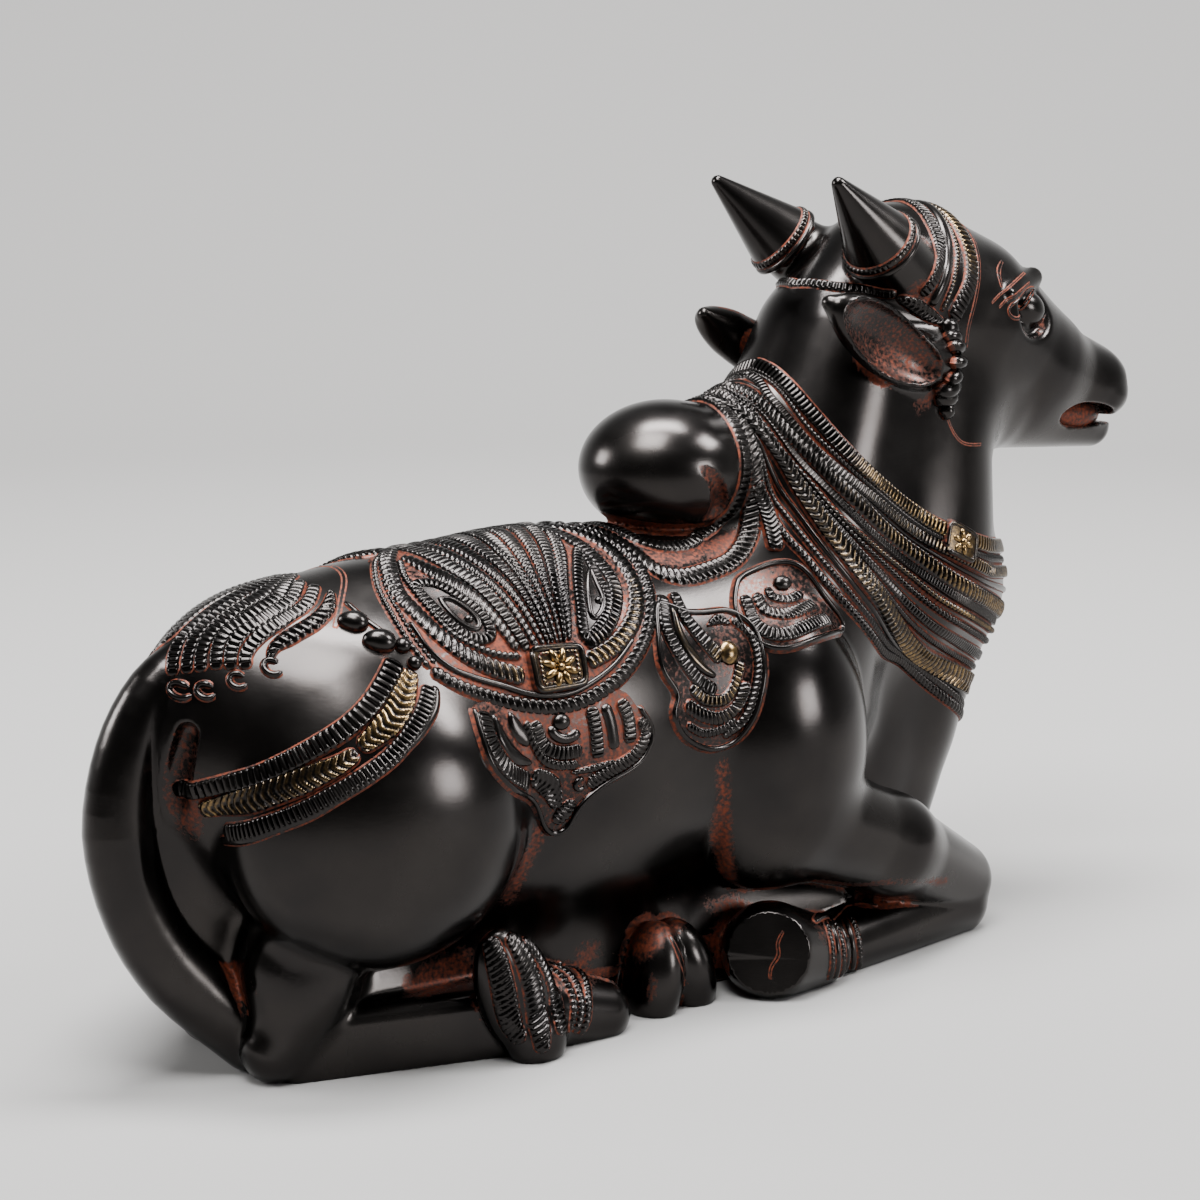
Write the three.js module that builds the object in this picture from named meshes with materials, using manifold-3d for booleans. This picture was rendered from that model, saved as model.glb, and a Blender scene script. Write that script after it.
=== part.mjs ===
// A cast brass Nandi, the sacred bull lying on its folded legs, in one piece, in millimetres.
// The bull faces +X, its left flank is +Y and it lies on the plane z = 0.
// Its body is a distance field: rounded masses melted together, then cut and carved,
// meshed in one skin and thinned to the few faces that keep its form.

import * as THREE from "three";
import Module from "manifold-3d";
import { edgeTable, triTable } from "three/addons/objects/MarchingCubes.js";

// The pose and proportions are drawn on a figure 355 long and follow FIGURE_LENGTH
const FIGURE_LENGTH = 355;
const DRAWN_LENGTH = 355;
const share = FIGURE_LENGTH / DRAWN_LENGTH;

const CELL = 1.5 * share;
const FACES_KEPT = 9500;

// The skin runs on this far below the ground before it is cut off flat
const SUNK = 4 * share;

// Masses: each is a closed form with its own distance function and the width of its melt into the rest

const blended = (a, b, width) => {
  const near = Math.max(width - Math.abs(a - b), 0) / width;
  return Math.min(a, b) - near * near * width * 0.25;
};

const scaled = (values) => values.map((v) => v * share);

function egg(centre, size, turn = [0, 0, 0]) {
  const at = scaled(centre);
  const [rx, ry, rz] = scaled(size);
  const radians = turn.map(THREE.MathUtils.degToRad);
  const m = new THREE.Matrix4().makeRotationFromEuler(new THREE.Euler(...radians)).invert().elements;
  return {
    centre: at,
    reach: Math.max(rx, ry, rz),
    distance(x, y, z) {
      const dx = x - at[0];
      const dy = y - at[1];
      const dz = z - at[2];
      const u = (m[0] * dx + m[4] * dy + m[8] * dz) / rx;
      const v = (m[1] * dx + m[5] * dy + m[9] * dz) / ry;
      const w = (m[2] * dx + m[6] * dy + m[10] * dz) / rz;
      const inner = Math.sqrt(u * u + v * v + w * w);
      const slope = Math.sqrt((u / rx) ** 2 + (v / ry) ** 2 + (w / rz) ** 2);
      return slope < 1e-9 ? -Math.min(rx, ry, rz) : (inner * (inner - 1)) / slope;
    },
  };
}

function limb(from, to, startSize, endSize) {
  const [startRadius, endRadius] = scaled([startSize, endSize]);
  const [ax, ay, az] = scaled(from);
  const [tx, ty, tz] = scaled(to);
  const bx = tx - ax;
  const by = ty - ay;
  const bz = tz - az;
  const length2 = bx * bx + by * by + bz * bz;
  const taper = startRadius - endRadius;
  const a2 = length2 - taper * taper;
  const il2 = 1 / length2;
  return {
    centre: [ax + bx / 2, ay + by / 2, az + bz / 2],
    reach: Math.sqrt(length2) / 2 + Math.max(startRadius, endRadius),
    distance(x, y, z) {
      const px = x - ax;
      const py = y - ay;
      const pz = z - az;
      const along = px * bx + py * by + pz * bz;
      const beyond = along - length2;
      const cx = px * length2 - bx * along;
      const cy = py * length2 - by * along;
      const cz = pz * length2 - bz * along;
      const x2 = cx * cx + cy * cy + cz * cz;
      const y2 = along * along * length2;
      const z2 = beyond * beyond * length2;
      const k = Math.sign(taper) * taper * taper * x2;
      if (Math.sign(beyond) * a2 * z2 > k) return Math.sqrt(x2 + z2) * il2 - endRadius;
      if (Math.sign(along) * a2 * y2 < k) return Math.sqrt(x2 + y2) * il2 - startRadius;
      return (Math.sqrt(x2 * a2 * il2) + along * taper) * il2 - startRadius;
    },
  };
}

// A strap runs smoothly through its points, in this many straight links from each to the next
const STRAP_LINKS = 4;

function strap(points, radii) {
  const curve = new THREE.CatmullRomCurve3(points.map((p) => new THREE.Vector3(...p)), false, "catmullrom");
  const route = curve.getPoints((points.length - 1) * STRAP_LINKS).map((p) => p.toArray());
  const radiusAt = (i) => {
    const before = Math.min(Math.floor(i / STRAP_LINKS), radii.length - 2);
    return THREE.MathUtils.lerp(radii[before], radii[before + 1], i / STRAP_LINKS - before);
  };
  const links = route.slice(1).map((p, i) => limb(route[i], p, radiusAt(i), radiusAt(i + 1)));
  const box = new THREE.Box3().setFromPoints(route.map((p) => new THREE.Vector3(...scaled(p))));
  const ball = box.getBoundingSphere(new THREE.Sphere());
  return {
    centre: ball.center.toArray(),
    reach: ball.radius + Math.max(...radii) * share,
    distance: (x, y, z) => Math.min(...links.map((link) => link.distance(x, y, z))),
  };
}

function bar(from, to, halfWidth, halfHeight, round) {
  const start = new THREE.Vector3(...scaled(from));
  const end = new THREE.Vector3(...scaled(to));
  const along = end.clone().sub(start);
  const half = [along.length() / 2, halfWidth * share, halfHeight * share].map((v) => v - round * share);
  const e0 = along.clone().normalize();
  const e1 = new THREE.Vector3(0, 0, 1).cross(e0).normalize();
  const e2 = e0.clone().cross(e1);
  const middle = start.add(end).multiplyScalar(0.5);
  return {
    centre: middle.toArray(),
    reach: Math.hypot(...half) + round * share,
    distance(x, y, z) {
      const dx = x - middle.x;
      const dy = y - middle.y;
      const dz = z - middle.z;
      const q = [e0, e1, e2].map((e, i) => Math.abs(dx * e.x + dy * e.y + dz * e.z) - half[i]);
      return Math.hypot(...q.map((v) => Math.max(v, 0))) + Math.min(Math.max(...q), 0) - round * share;
    },
  };
}

function trimmed(mass, point, facing) {
  const at = scaled(point);
  const n = new THREE.Vector3(...facing).normalize();
  const beyond = (x, y, z) => (x - at[0]) * n.x + (y - at[1]) * n.y + (z - at[2]) * n.z;
  return { ...mass, distance: (x, y, z) => Math.max(mass.distance(x, y, z), beyond(x, y, z)) };
}

const melt = (mass, width) => ({ ...mass, width: width * share, sides: 1 });
const pair = (mass, width) => ({ ...mass, width: width * share, sides: 2 });
const cut = (mass, width) => ({ ...mass, width: width * share, sides: 1, cuts: true });
const cutPair = (mass, width) => ({ ...mass, width: width * share, sides: 2, cuts: true });

function torso() {
  return [
    melt(egg([-24, 0, 76], [92, 46, 56]), 1),
    melt(egg([-80, 0, 78], [56, 36, 49]), 14),
    melt(egg([-107, 0, 88], [33, 25, 35]), 10),
    melt(egg([36, 0, 82], [56, 42, 50]), 14),
    melt(limb([-92, 0, 12], [70, 0, 12], 25, 27), 14),
    melt(egg([-122, 0, 54], [24, 7, 46], [0, -8, 0]), 6),
  ];
}

function haunches() {
  return [
    pair(egg([-88, -18, 82], [36, 27, 34], [0, -12, 0]), 10),
    pair(egg([-88, -26, 67], [40, 27.5, 40], [0, 0, -12]), 3.5),
    pair(egg([-106, -16, 26], [15, 15, 20]), 6),
    pair(limb([-114, -18, 8], [-104, -23, 26], 9, 9), 4),
  ];
}

function neck() {
  return [
    melt(limb([64, 0, 112], [86, 0, 176], 35, 26), 12),
    melt(limb([104, 0, 112], [112, 0, 156], 34, 26), 14),
    melt(limb([125, 0, 101], [116, 0, 62], 21, 13), 12),
    melt(limb([116, 0, 62], [108, 0, 26], 13, 11), 8),
    melt(egg([86, 0, 66], [42, 19, 50]), 8),
  ];
}

function hump() {
  return [melt(egg([22, 0, 146], [25, 22.5, 19]), 1.5), melt(limb([34, 0, 142], [52, 0, 148], 17, 20), 6)];
}

// The hooked groove low on each side of the hump
function humpGroove() {
  const hook = [[18, -24.5, 149], [24, -24, 143], [27, -19.5, 135], [22, -17.5, 129]];
  return [cutPair(strap(hook, [2, 3, 3, 1.8]), 0.8)];
}

function head() {
  return [
    melt(egg([108, 0, 187], [33, 27, 32]), 8),
    melt(limb([130, 0, 184], [160, 0, 169], 26, 19.5), 6),
    melt(limb([158, 0, 168], [186, 0, 161.5], 18.5, 13.5), 5),
    pair(egg([186, -6, 161], [13, 8, 9.5]), 4),
    melt(limb([146, 0, 158], [191, 0, 147], 15, 6.5), 5),
    melt(egg([122, 0, 165], [30, 22, 25], [0, 12, 0]), 8),
    pair(egg([190, -5.5, 157], [8.5, 8, 6]), 2.5),
    cutPair(egg([178, -10.5, 152.3], [13, 8, 4.2], [0, 4, 0]), 1),
    cut(egg([197, 0, 149.8], [16, 22, 1.5], [0, 3, 0]), 0.8),
    cutPair(egg([198, -9, 162], [4, 3, 2.5], [0, 30, 0]), 1),
  ];
}

function eyes() {
  return [
    cutPair(egg([143, -22, 187], [9, 5, 8], [0, 20, 0]), 3),
    pair(egg([143.5, -18, 187], [7, 5, 5.5], [0, 20, 0]), 1),
    pair(limb([131, -24, 192], [149, -15, 196], 2.2, 3.2), 2),
    pair(limb([134, -22, 182], [148, -16, 180], 1.8, 1.8), 2),
  ];
}

// Each horn is a cone that stands over its stump with a sharp lip
function horns() {
  const foot = [83.5, -21.6, 206.2];
  const tip = [61.5, -27.3, 224.8];
  const downwards = foot.map((v, i) => v - tip[i]);
  return [
    pair(limb([98, -16, 196], foot, 12, 9.8), 4),
    pair(trimmed(limb(foot, tip, 11.3, 2), foot, downwards), 0.5),
  ];
}

function ear(side, forward, drop, height) {
  const at = (x, y, z) => [x + forward, side * y, z - drop];
  const lean = [0, 29, side * -6];
  return [
    melt(egg(at(76, 31, 181), [23, 5.5, height], lean), 2),
    melt(limb(at(66, 31.5, 187), at(56, 30, 192.5), height * 0.5, 1.5), 5),
    melt(limb(at(98, 23, 174), at(90, 27, 175), height, height * 0.75), 4),
    cut(egg(at(77, 36, 180.4), [22.5, 7.8, height - 0.6], lean), 0.6),
  ];
}

function ears() {
  return [...ear(-1, 0, 0, 9.6), ...ear(1, 3, 6.5, 8)];
}

function forelegs() {
  return [
    pair(egg([37, -28, 70], [31, 26, 43]), 2.5),
    pair(limb([40, -32, 50], [80, -32, 34], 19, 14.5), 4),
    pair(limb([80, -32, 34], [116, -22, 15], 14.5, 12), 5),
    pair(limb([116, -22, 8], [60, -32, 6], 11, 9.5), 1.5),
    pair(trimmed(limb([48, -36, 8], [32, -38, 12], 11, 14), [26.5, -44, 12], [-0.66, -0.72, 0.2]), 1.5),
  ];
}

function hindLegs() {
  return [
    pair(bar([-112, -13, 6], [-46, -30, 6], 12, 12, 5), 2),
    pair(limb([-46, -32, 9], [-26, -35, 5], 13, 9.5), 2),
    cutPair(egg([-20, -37, 10], [11, 1.3, 10], [0, 0, -8]), 1),
    melt(egg([-56, -41, 18], [10.5, 6.5, 19], [0, -22, 0]), 1.5),
    melt(egg([-50.5, -43.5, 5], [8.5, 6.5, 9]), 2.5),
    melt(egg([-4, -31, 9], [8, 10, 16], [0, 8, 0]), 1.5),
    melt(egg([8, -29, 8], [8.5, 10, 16], [0, -14, 0]), 1),
  ];
}

function tail() {
  const line = [
    [-124, 0, 110], [-136, 0, 101], [-144, 0, 86], [-147, 0, 66],
    [-143, -1, 45], [-133, -3, 27], [-115, -7, 8],
  ];
  const gutter = [[-134, -14, 92], [-139, -13, 75], [-141, -14, 57], [-135, -16, 40], [-124, -19, 27]];
  return [
    melt(strap(line, [6, 7, 8, 9, 9, 9.5, 9]), 1.5),
    cutPair(strap(gutter, [3, 4.5, 5, 4.5, 3]), 1.5),
  ];
}

const masses = [
  torso(),
  haunches(),
  neck(),
  hump(),
  head(),
  eyes(),
  horns(),
  ears(),
  forelegs(),
  hindLegs(),
  tail(),
  humpGroove(),
].flat();

function bodyAt(x, y, z) {
  let d = 1e9;
  for (const mass of masses) {
    const side = mass.sides === 2 ? -Math.abs(y) : y;
    const [cx, cy, cz] = mass.centre;
    const far = Math.sqrt((x - cx) ** 2 + (side - cy) ** 2 + (z - cz) ** 2) - mass.reach;
    if (mass.cuts) {
      if (far > mass.width - d) continue;
      d = -blended(-d, mass.distance(x, side, z), mass.width);
    } else {
      if (far > d + mass.width) continue;
      d = blended(d, mass.distance(x, side, z), mass.width);
    }
  }
  return d;
}

// Carving: ribbons and plates raised on the skin, drawn flat from one side (x, z), from above (x, y)
// or on the unrolled flank (x, way down from the spine), and the same on both flanks

const SOFT = 0.8;
const BARREL_AXIS = 72;
const BARREL_RADIUS = 50;

// What is drawn from above lies higher than this
const BACK_HEIGHT = 104;
const views = {
  side: (x, y, z) => [x, z],
  top: (x, y, z) => [x, z > BACK_HEIGHT ? Math.abs(y) : -Infinity],
  flank: (x, y, z) => [x, Math.atan2(Math.abs(y), z - BARREL_AXIS) * BARREL_RADIUS],
};

const step = (from, to, v) => THREE.MathUtils.smoothstep(v, from, to);

function nearestOn(path, u, v) {
  let best = Infinity;
  let along = 0;
  for (let i = 1; i < path.length; i++) {
    const a = path[i - 1];
    const du = path[i].x - a.x;
    const dv = path[i].y - a.y;
    const t = Math.min(1, Math.max(0, ((u - a.x) * du + (v - a.y) * dv) / (du * du + dv * dv)));
    const gap = Math.hypot(u - a.x - t * du, v - a.y - t * dv);
    if (gap < best) {
      best = gap;
      along = (i - 1 + t) / (path.length - 1);
    }
  }
  return { gap: best, along };
}

function drawn(line, spread) {
  const path = new THREE.SplineCurve(line.map((p) => new THREE.Vector2(...p))).getPoints(line.length * 4);
  return { path, box: new THREE.Box2().setFromPoints(path).expandByScalar(spread) };
}

function ribbon(view, line, [startHalf, endHalf], height) {
  const { path, box } = drawn(line, Math.max(startHalf, endHalf) + SOFT);
  return (x, y, z) => {
    const [u, v] = views[view](x, y, z);
    if (u < box.min.x || u > box.max.x || v < box.min.y || v > box.max.y) return 0;
    const { gap, along } = nearestOn(path, u, v);
    const half = startHalf + (endHalf - startHalf) * along;
    return height * (1 - step(half * 0.4, half + SOFT * 0.5, gap));
  };
}

function plate(view, outline, height) {
  const { path, box } = drawn([...outline, outline[0]], SOFT);
  return (x, y, z) => {
    const [u, v] = views[view](x, y, z);
    if (u < box.min.x || u > box.max.x || v < box.min.y || v > box.max.y) return 0;
    let inside = false;
    for (let i = 1; i < path.length; i++) {
      const [a, b] = [path[i - 1], path[i]];
      if (a.y > v !== b.y > v && u < a.x + ((v - a.y) / (b.y - a.y)) * (b.x - a.x)) inside = !inside;
    }
    const { gap } = nearestOn(path, u, v);
    return height * step(-SOFT, SOFT, inside ? gap : -gap);
  };
}

function family(view, first, last, count, half, height) {
  return Array.from({ length: count }, (_, i) => {
    const line = first.map((p, k) => p.map((v, a) => v + ((last[k][a] - v) * i) / (count - 1)));
    return ribbon(view, line, half, height);
  });
}

const oval = ([u, v], [ru, rv], from = 0, to = 360, count = 14) =>
  Array.from({ length: count + 1 }, (_, i) => {
    const a = THREE.MathUtils.degToRad(from + ((to - from) * i) / count);
    return [u + ru * Math.cos(a), v + rv * Math.sin(a)];
  });

// A hanging shield: half its width at each depth below its top edge
const shield = (u, top, depths, halves) => [
  ...depths.map((d, i) => [u - halves[i], top + d]),
  ...depths.map((d, i) => [u + halves[i], top + d]).reverse(),
];

function saddleCloth() {
  const clasp = [[-50, 40], [-34, 40.5], [-34.5, 52.5], [-49.5, 52.5]];
  const firstRay = [[-48, 38], [-55, 25], [-66, 6]];
  const lastRay = [[-35, 38], [-30, 25], [-20, 6]];
  const rays = family("flank", firstRay, lastRay, 3, [2, 3.4], 0.8);
  return {
    plates: [plate("flank", oval([-44.5, 23.6], [39, 32.4]), 0.7), plate("flank", clasp, 1.3)],
    ribbons: [
      ribbon("flank", oval([-44.5, 23.6], [37.5, 31]), [2.2, 2.2], 1),
      ribbon("flank", oval([-44.5, 20.4], [31, 24.5]), [3.2, 3.2], 0.8),
      ...rays,
    ],
  };
}

function pendants() {
  const low = shield(-43.5, 54, [0, 10, 19, 24, 31, 38.5], [25, 27, 22, 14, 6, 1]);
  const inner = shield(-43.5, 59, [0, 8, 14, 19, 25], [18, 19, 14, 7, 1]);
  return {
    plates: [
      plate("flank", low, 1.1),
      plate("flank", oval([7.5, 55.5], [16.5, 19.5]), 1.1),
      plate("flank", [[-5, 24], [1, 24], [4, 44], [-6, 44]], 1.1),
      plate("flank", [[40, 12], [45, 16], [46, 32], [54, 43], [36, 51], [21, 42], [22, 31], [34, 24]], 1.1),
    ],
    ribbons: [
      ribbon("flank", [...inner, inner[0]], [2, 2], 0.9),
      ribbon("flank", oval([7.5, 55.5], [13, 16]), [2.2, 2.2], 1),
      ribbon("flank", oval([9, 59], [4, 6]), [3, 3], 0.9),
      ribbon("flank", oval([37, 40], [12, 7.5]), [2, 2], 0.9),
    ],
  };
}

function crupper() {
  const upper = [[-86, 110], [-95, 101], [-106, 92], [-121, 84], [-139, 79]];
  const lower = [[-78, 99], [-87, 87], [-100, 78], [-119, 69], [-139, 66]];
  const netHem = [[-90, 5], [-98, 15], [-109, 18], [-118, 20], [-124, 22]];
  const netTop = [[-120, 0], [-126, 3], [-131, 5], [-135, 6], [-139, 8]];
  return {
    plates: [
      plate("side", [...upper, ...lower.toReversed()], 0.6),
      plate("top", [...netHem, [-140, 12], [-130, -2], [-88, -2]], 0.6),
    ],
    ribbons: [
      ...family("side", upper, lower, 3, [2.8, 2.4], 1),
      ...family("top", netHem, netTop, 3, [2.6, 2.2], 0.9),
    ],
  };
}

function collars() {
  const nape = [[55, 175], [60, 158], [70, 144], [90, 132], [112, 123], [136, 117]];
  const breast = [[39, 160], [43, 142], [49, 122], [62, 102], [86, 86], [114, 71]];
  const humpFoot = [[38, 163], [33, 148], [34, 134], [20, 125], [5, 125], [-4, 131]];
  const humpHem = [[43, 160], [41, 142], [38, 129], [21, 119.5], [4, 119.5], [-8, 127]];
  return {
    plates: [plate("side", [...nape, ...breast.toReversed()], 0.5)],
    ribbons: [
      ...family("side", nape, breast, 5, [2.6, 4.4], 1.4),
      ...family("side", humpFoot, humpHem, 2, [2.6, 2.6], 1.1),
    ],
  };
}

function headgear() {
  const back = [[101, 219], [103, 209], [99, 202], [93, 196]];
  const front = [[119, 217], [117, 207], [114, 199], [106, 190]];
  return {
    plates: [],
    ribbons: [
      ...family("side", back, front, 3, [2.6, 2.4], 1.2),
      ribbon("side", [[97, 190], [104, 178], [108, 168], [105, 160]], [3, 3.4], 1.4),
    ],
  };
}

function anklets() {
  return {
    plates: [],
    ribbons: [
      ribbon("side", [[70, 22], [68, 10], [65, -6]], [2.8, 2.8], 1.1),
      ribbon("side", [[-37, 26], [-38, 10], [-39, -6]], [2.6, 2.6], 1),
    ],
  };
}

const carvings = [saddleCloth(), pendants(), crupper(), collars(), headgear(), anklets()];
const plates = carvings.flatMap((c) => c.plates);
const ribbons = carvings.flatMap((c) => c.ribbons);

const CARVING_REACH = 3 * share;

function figure(x, y, z) {
  const d = Math.max(bodyAt(x, y, z), -z - SUNK);
  if (Math.abs(d) > CARVING_REACH) return d;
  const at = [x / share, y / share, z / share];
  const heights = [plates, ribbons].map((set) => set.reduce((most, f) => Math.max(most, f(...at)), 0));
  return d - (heights[0] + heights[1]) * share;
}

// Skin: the field's zero surface as shared corners and triangles

const CORNERS = [[0, 0, 0], [1, 0, 0], [1, 1, 0], [0, 1, 0], [0, 0, 1], [1, 0, 1], [1, 1, 1], [0, 1, 1]];
const EDGES = [[0, 1], [1, 2], [2, 3], [3, 0], [4, 5], [5, 6], [6, 7], [7, 4], [0, 4], [1, 5], [2, 6], [3, 7]];

// No corner comes nearer to the end of its cell's edge than this part of the edge
const NEAR_END = 0.02;

function skinOf(field, low, high, cell) {
  const size = low.map((v, i) => Math.ceil((high[i] - v) / cell) + 1);
  const [nx, ny, nz] = size;
  const values = new Float32Array(nx * ny * nz);
  for (let k = 0, q = 0; k < nz; k++)
    for (let j = 0; j < ny; j++)
      for (let i = 0; i < nx;) {
        const value = field(low[0] + i * cell, low[1] + j * cell, low[2] + k * cell);
        const run = Math.min(nx - i, 1 + Math.floor(Math.abs(value) / (2 * cell)));
        values.fill(value, q, q + run);
        i += run;
        q += run;
      }
  const index = ([i, j, k]) => i + nx * (j + ny * k);
  const points = [];
  const faces = [];
  const made = new Map();
  const cornerAt = (base, edge) => {
    const ends = EDGES[edge].map((c) => CORNERS[c].map((v, a) => v + base[a]));
    const [p, q] = ends.map(index);
    const key = Math.min(p, q) * 3 + ends[0].findIndex((v, a) => v !== ends[1][a]);
    if (!made.has(key)) {
      const part = THREE.MathUtils.clamp(values[p] / (values[p] - values[q]), NEAR_END, 1 - NEAR_END);
      made.set(key, points.length / 3);
      const [first, last] = ends;
      points.push(...first.map((v, a) => low[a] + (v + part * (last[a] - v)) * cell));
    }
    return made.get(key);
  };
  for (let k = 0; k < nz - 1; k++)
    for (let j = 0; j < ny - 1; j++)
      for (let i = 0; i < nx - 1; i++) {
        let kind = 0;
        for (let c = 0; c < 8; c++) {
          const [a, b, e] = CORNERS[c];
          if (values[index([i + a, j + b, k + e])] < 0) kind |= 1 << c;
        }
        if (!edgeTable[kind]) continue;
        for (let t = kind * 16; triTable[t] !== -1; t += 3)
          faces.push([0, 2, 1].map((n) => cornerAt([i, j, k], triTable[t + n])));
      }
  return { points, faces };
}

// Thinning: the edges the form needs least are closed up, until only the wanted number of faces is left

const THINNEST = 0.2 * share;

// No face turns further than this cosine in one closing
const LEAST_AGREEMENT = 0.35;

// Among edges that the form needs equally little, the shorter ones close first
const LENGTH_COST = 1e-4;

// Corners this near the ground plane settle on it
const GROUND_SNAP = 0.8 * share;

function formOf(a, b, c) {
  const n = b.clone().sub(a).cross(c.clone().sub(a));
  const area = n.length();
  n.divideScalar(area || 1);
  const plane = [n.x, n.y, n.z, -n.dot(a)];
  const products = [[0, 0], [0, 1], [0, 2], [1, 1], [1, 2], [2, 2], [0, 3], [1, 3], [2, 3], [3, 3]];
  return products.map(([i, j]) => plane[i] * plane[j] * area);
}

const offForm = (q, { x, y, z }) =>
  q[0] * x * x + q[3] * y * y + q[5] * z * z + 2 * (q[1] * x * y + q[2] * x * z + q[4] * y * z) +
  2 * (q[6] * x + q[7] * y + q[8] * z) + q[9];

function bestPoint(q, a, b) {
  const middle = a.clone().lerp(b, 0.5);
  const m = new THREE.Matrix3(q[0], q[1], q[2], q[1], q[3], q[4], q[2], q[4], q[5]);
  if (Math.abs(m.determinant()) > 1e-3 * (q[0] + q[3] + q[5]) ** 3) {
    const p = new THREE.Vector3(-q[6], -q[7], -q[8]).applyMatrix3(m.invert());
    if (p.distanceTo(middle) < a.distanceTo(b) * 1.5) return p;
  }
  return [a, b, middle].sort((p, r) => offForm(q, p) - offForm(q, r))[0].clone();
}

function queue() {
  const items = [];
  const swap = (i, j) => ([items[i], items[j]] = [items[j], items[i]]);
  const add = (item) => {
    let i = items.push(item) - 1;
    while (i && items[(i - 1) >> 1].cost > items[i].cost) {
      swap(i, (i - 1) >> 1);
      i = (i - 1) >> 1;
    }
  };
  const take = () => {
    const first = items[0];
    const last = items.pop();
    if (items.length) items[0] = last;
    for (let i = 0; ;) {
      const [l, r] = [2 * i + 1, 2 * i + 2];
      let low = l < items.length && items[l].cost < items[i].cost ? l : i;
      if (r < items.length && items[r].cost < items[low].cost) low = r;
      if (low === i) return first;
      swap(i, low);
      i = low;
    }
  };
  return { add, take, any: () => items.length > 0 };
}

function thinned({ points, faces }, kept) {
  const corners = [];
  for (let i = 0; i < points.length; i += 3) {
    const at = new THREE.Vector3(...points.slice(i, i + 3));
    corners.push({ at, form: new Float64Array(10), faces: new Set(), change: 0 });
  }
  for (const face of faces) {
    const own = face.map((i) => corners[i]);
    const form = formOf(...own.map((c) => c.at));
    for (const corner of own) {
      corner.faces.add(own);
      form.forEach((t, i) => (corner.form[i] += t));
    }
  }

  const joined = (corner) => new Set([...corner.faces].flat().filter((c) => c !== corner));
  const edges = queue();
  const offer = (a, b) => {
    const form = a.form.map((t, i) => t + b.form[i]);
    const at = bestPoint(form, a.at, b.at);
    const cost = offForm(form, at) + LENGTH_COST * a.at.distanceToSquared(b.at);
    edges.add({ a, b, form, at, cost, change: a.change + b.change });
  };
  const normal = (face, moved, at) => {
    const [p, q, r] = face.map((c) => (moved.includes(c) ? at : c.at));
    const n = q.clone().sub(p).cross(r.clone().sub(p));
    const longest = Math.max(p.distanceTo(q), q.distanceTo(r), r.distanceTo(p));
    return { n, height: n.length() / longest };
  };
  const sound = ({ a, b, at }) => {
    const near = joined(b);
    if ([...joined(a)].filter((c) => near.has(c)).length !== 2) return false;
    return [...a.faces, ...b.faces].every((face) => {
      if (face.includes(a) && face.includes(b)) return true;
      const before = normal(face, [], at);
      const after = normal(face, [a, b], at);
      if (after.height < Math.min(THINNEST, before.height)) return false;
      return before.height < THINNEST || before.n.normalize().dot(after.n.normalize()) > LEAST_AGREEMENT;
    });
  };

  corners.forEach((corner, i) => (corner.order = i));
  for (const corner of corners) {
    const later = [...joined(corner)].filter((other) => other.order > corner.order);
    later.forEach((other) => offer(corner, other));
  }
  let left = faces.length;
  while (left > kept && edges.any()) {
    const edge = edges.take();
    const { a, b } = edge;
    if (edge.change !== a.change + b.change || a.gone || b.gone || !sound(edge)) continue;
    a.at = edge.at;
    a.form = edge.form;
    a.change = edge.change + 1;
    b.gone = true;
    for (const face of b.faces) {
      if (face.includes(a)) {
        for (const corner of face) corner.faces.delete(face);
        left -= 1;
      } else {
        face[face.indexOf(b)] = a;
        a.faces.add(face);
      }
    }
    for (const other of joined(a)) offer(a, other);
  }
  const standing = corners.filter((c) => !c.gone);
  standing.forEach((c, i) => (c.order = i));
  const remaining = new Set(standing.flatMap((c) => [...c.faces]));
  return {
    points: standing.flatMap(({ at }) => [at.x, at.y, Math.abs(at.z) < GROUND_SNAP ? 0 : at.z]),
    faces: [...remaining].map((face) => face.map((c) => c.order)),
  };
}

// The cut: everything under the ground plane goes, so that the underside is one flat

function solidOf(kernel, points, faces) {
  const mesh = new kernel.Mesh({
    numProp: 3,
    vertProperties: Float32Array.from(points),
    triVerts: Uint32Array.from(faces.flat()),
  });
  mesh.merge();
  return new kernel.Manifold(mesh);
}

function blockOf(kernel, size, centre) {
  const box = new THREE.BoxGeometry(...size).translate(...centre);
  return solidOf(kernel, box.attributes.position.array, Array.from(box.index.array));
}

const kernel = await Module();
kernel.setup();

const low = scaled([-166, -70, -SUNK / share - 3]);
const high = scaled([216, 70, 236]);
const whole = thinned(skinOf(figure, low, high, CELL), FACES_KEPT);
const depth = FIGURE_LENGTH;
const ground = blockOf(kernel, [2 * FIGURE_LENGTH, FIGURE_LENGTH, depth], [0, 0, -depth / 2]);
const cast = solidOf(kernel, whole.points, whole.faces).subtract(ground).getMesh();

const geometry = new THREE.BufferGeometry();
geometry.setAttribute("position", new THREE.BufferAttribute(cast.vertProperties, 3));
geometry.setIndex(new THREE.BufferAttribute(cast.triVerts, 1));
geometry.computeBoundingBox();
const box = geometry.boundingBox;
geometry.translate(-(box.min.x + box.max.x) / 2, -(box.min.y + box.max.y) / 2, 0);
geometry.computeVertexNormals();

const brass = new THREE.MeshStandardMaterial({ color: 0x2a2624, roughness: 0.35, metalness: 0.9 });
const bull = new THREE.Mesh(geometry, brass);
bull.name = "nandi_bull";
const group = new THREE.Group();
group.add(bull);
export default group;
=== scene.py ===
"""A cast brass Nandi, the sacred bull lying on its folded legs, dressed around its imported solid.

The bull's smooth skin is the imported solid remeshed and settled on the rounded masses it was
modelled from.  Every band, cord, pendant and bead of its trappings is laid on that skin as a
strip of real relief, on the right flank first and then mirrored to the left one, apart from
the cleft of the one hoof that shows on the right only.

Sizes are in millimetres in the modelling frame: x towards the head, y to the left flank,
z up, with the ground at z = 0.
"""

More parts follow.
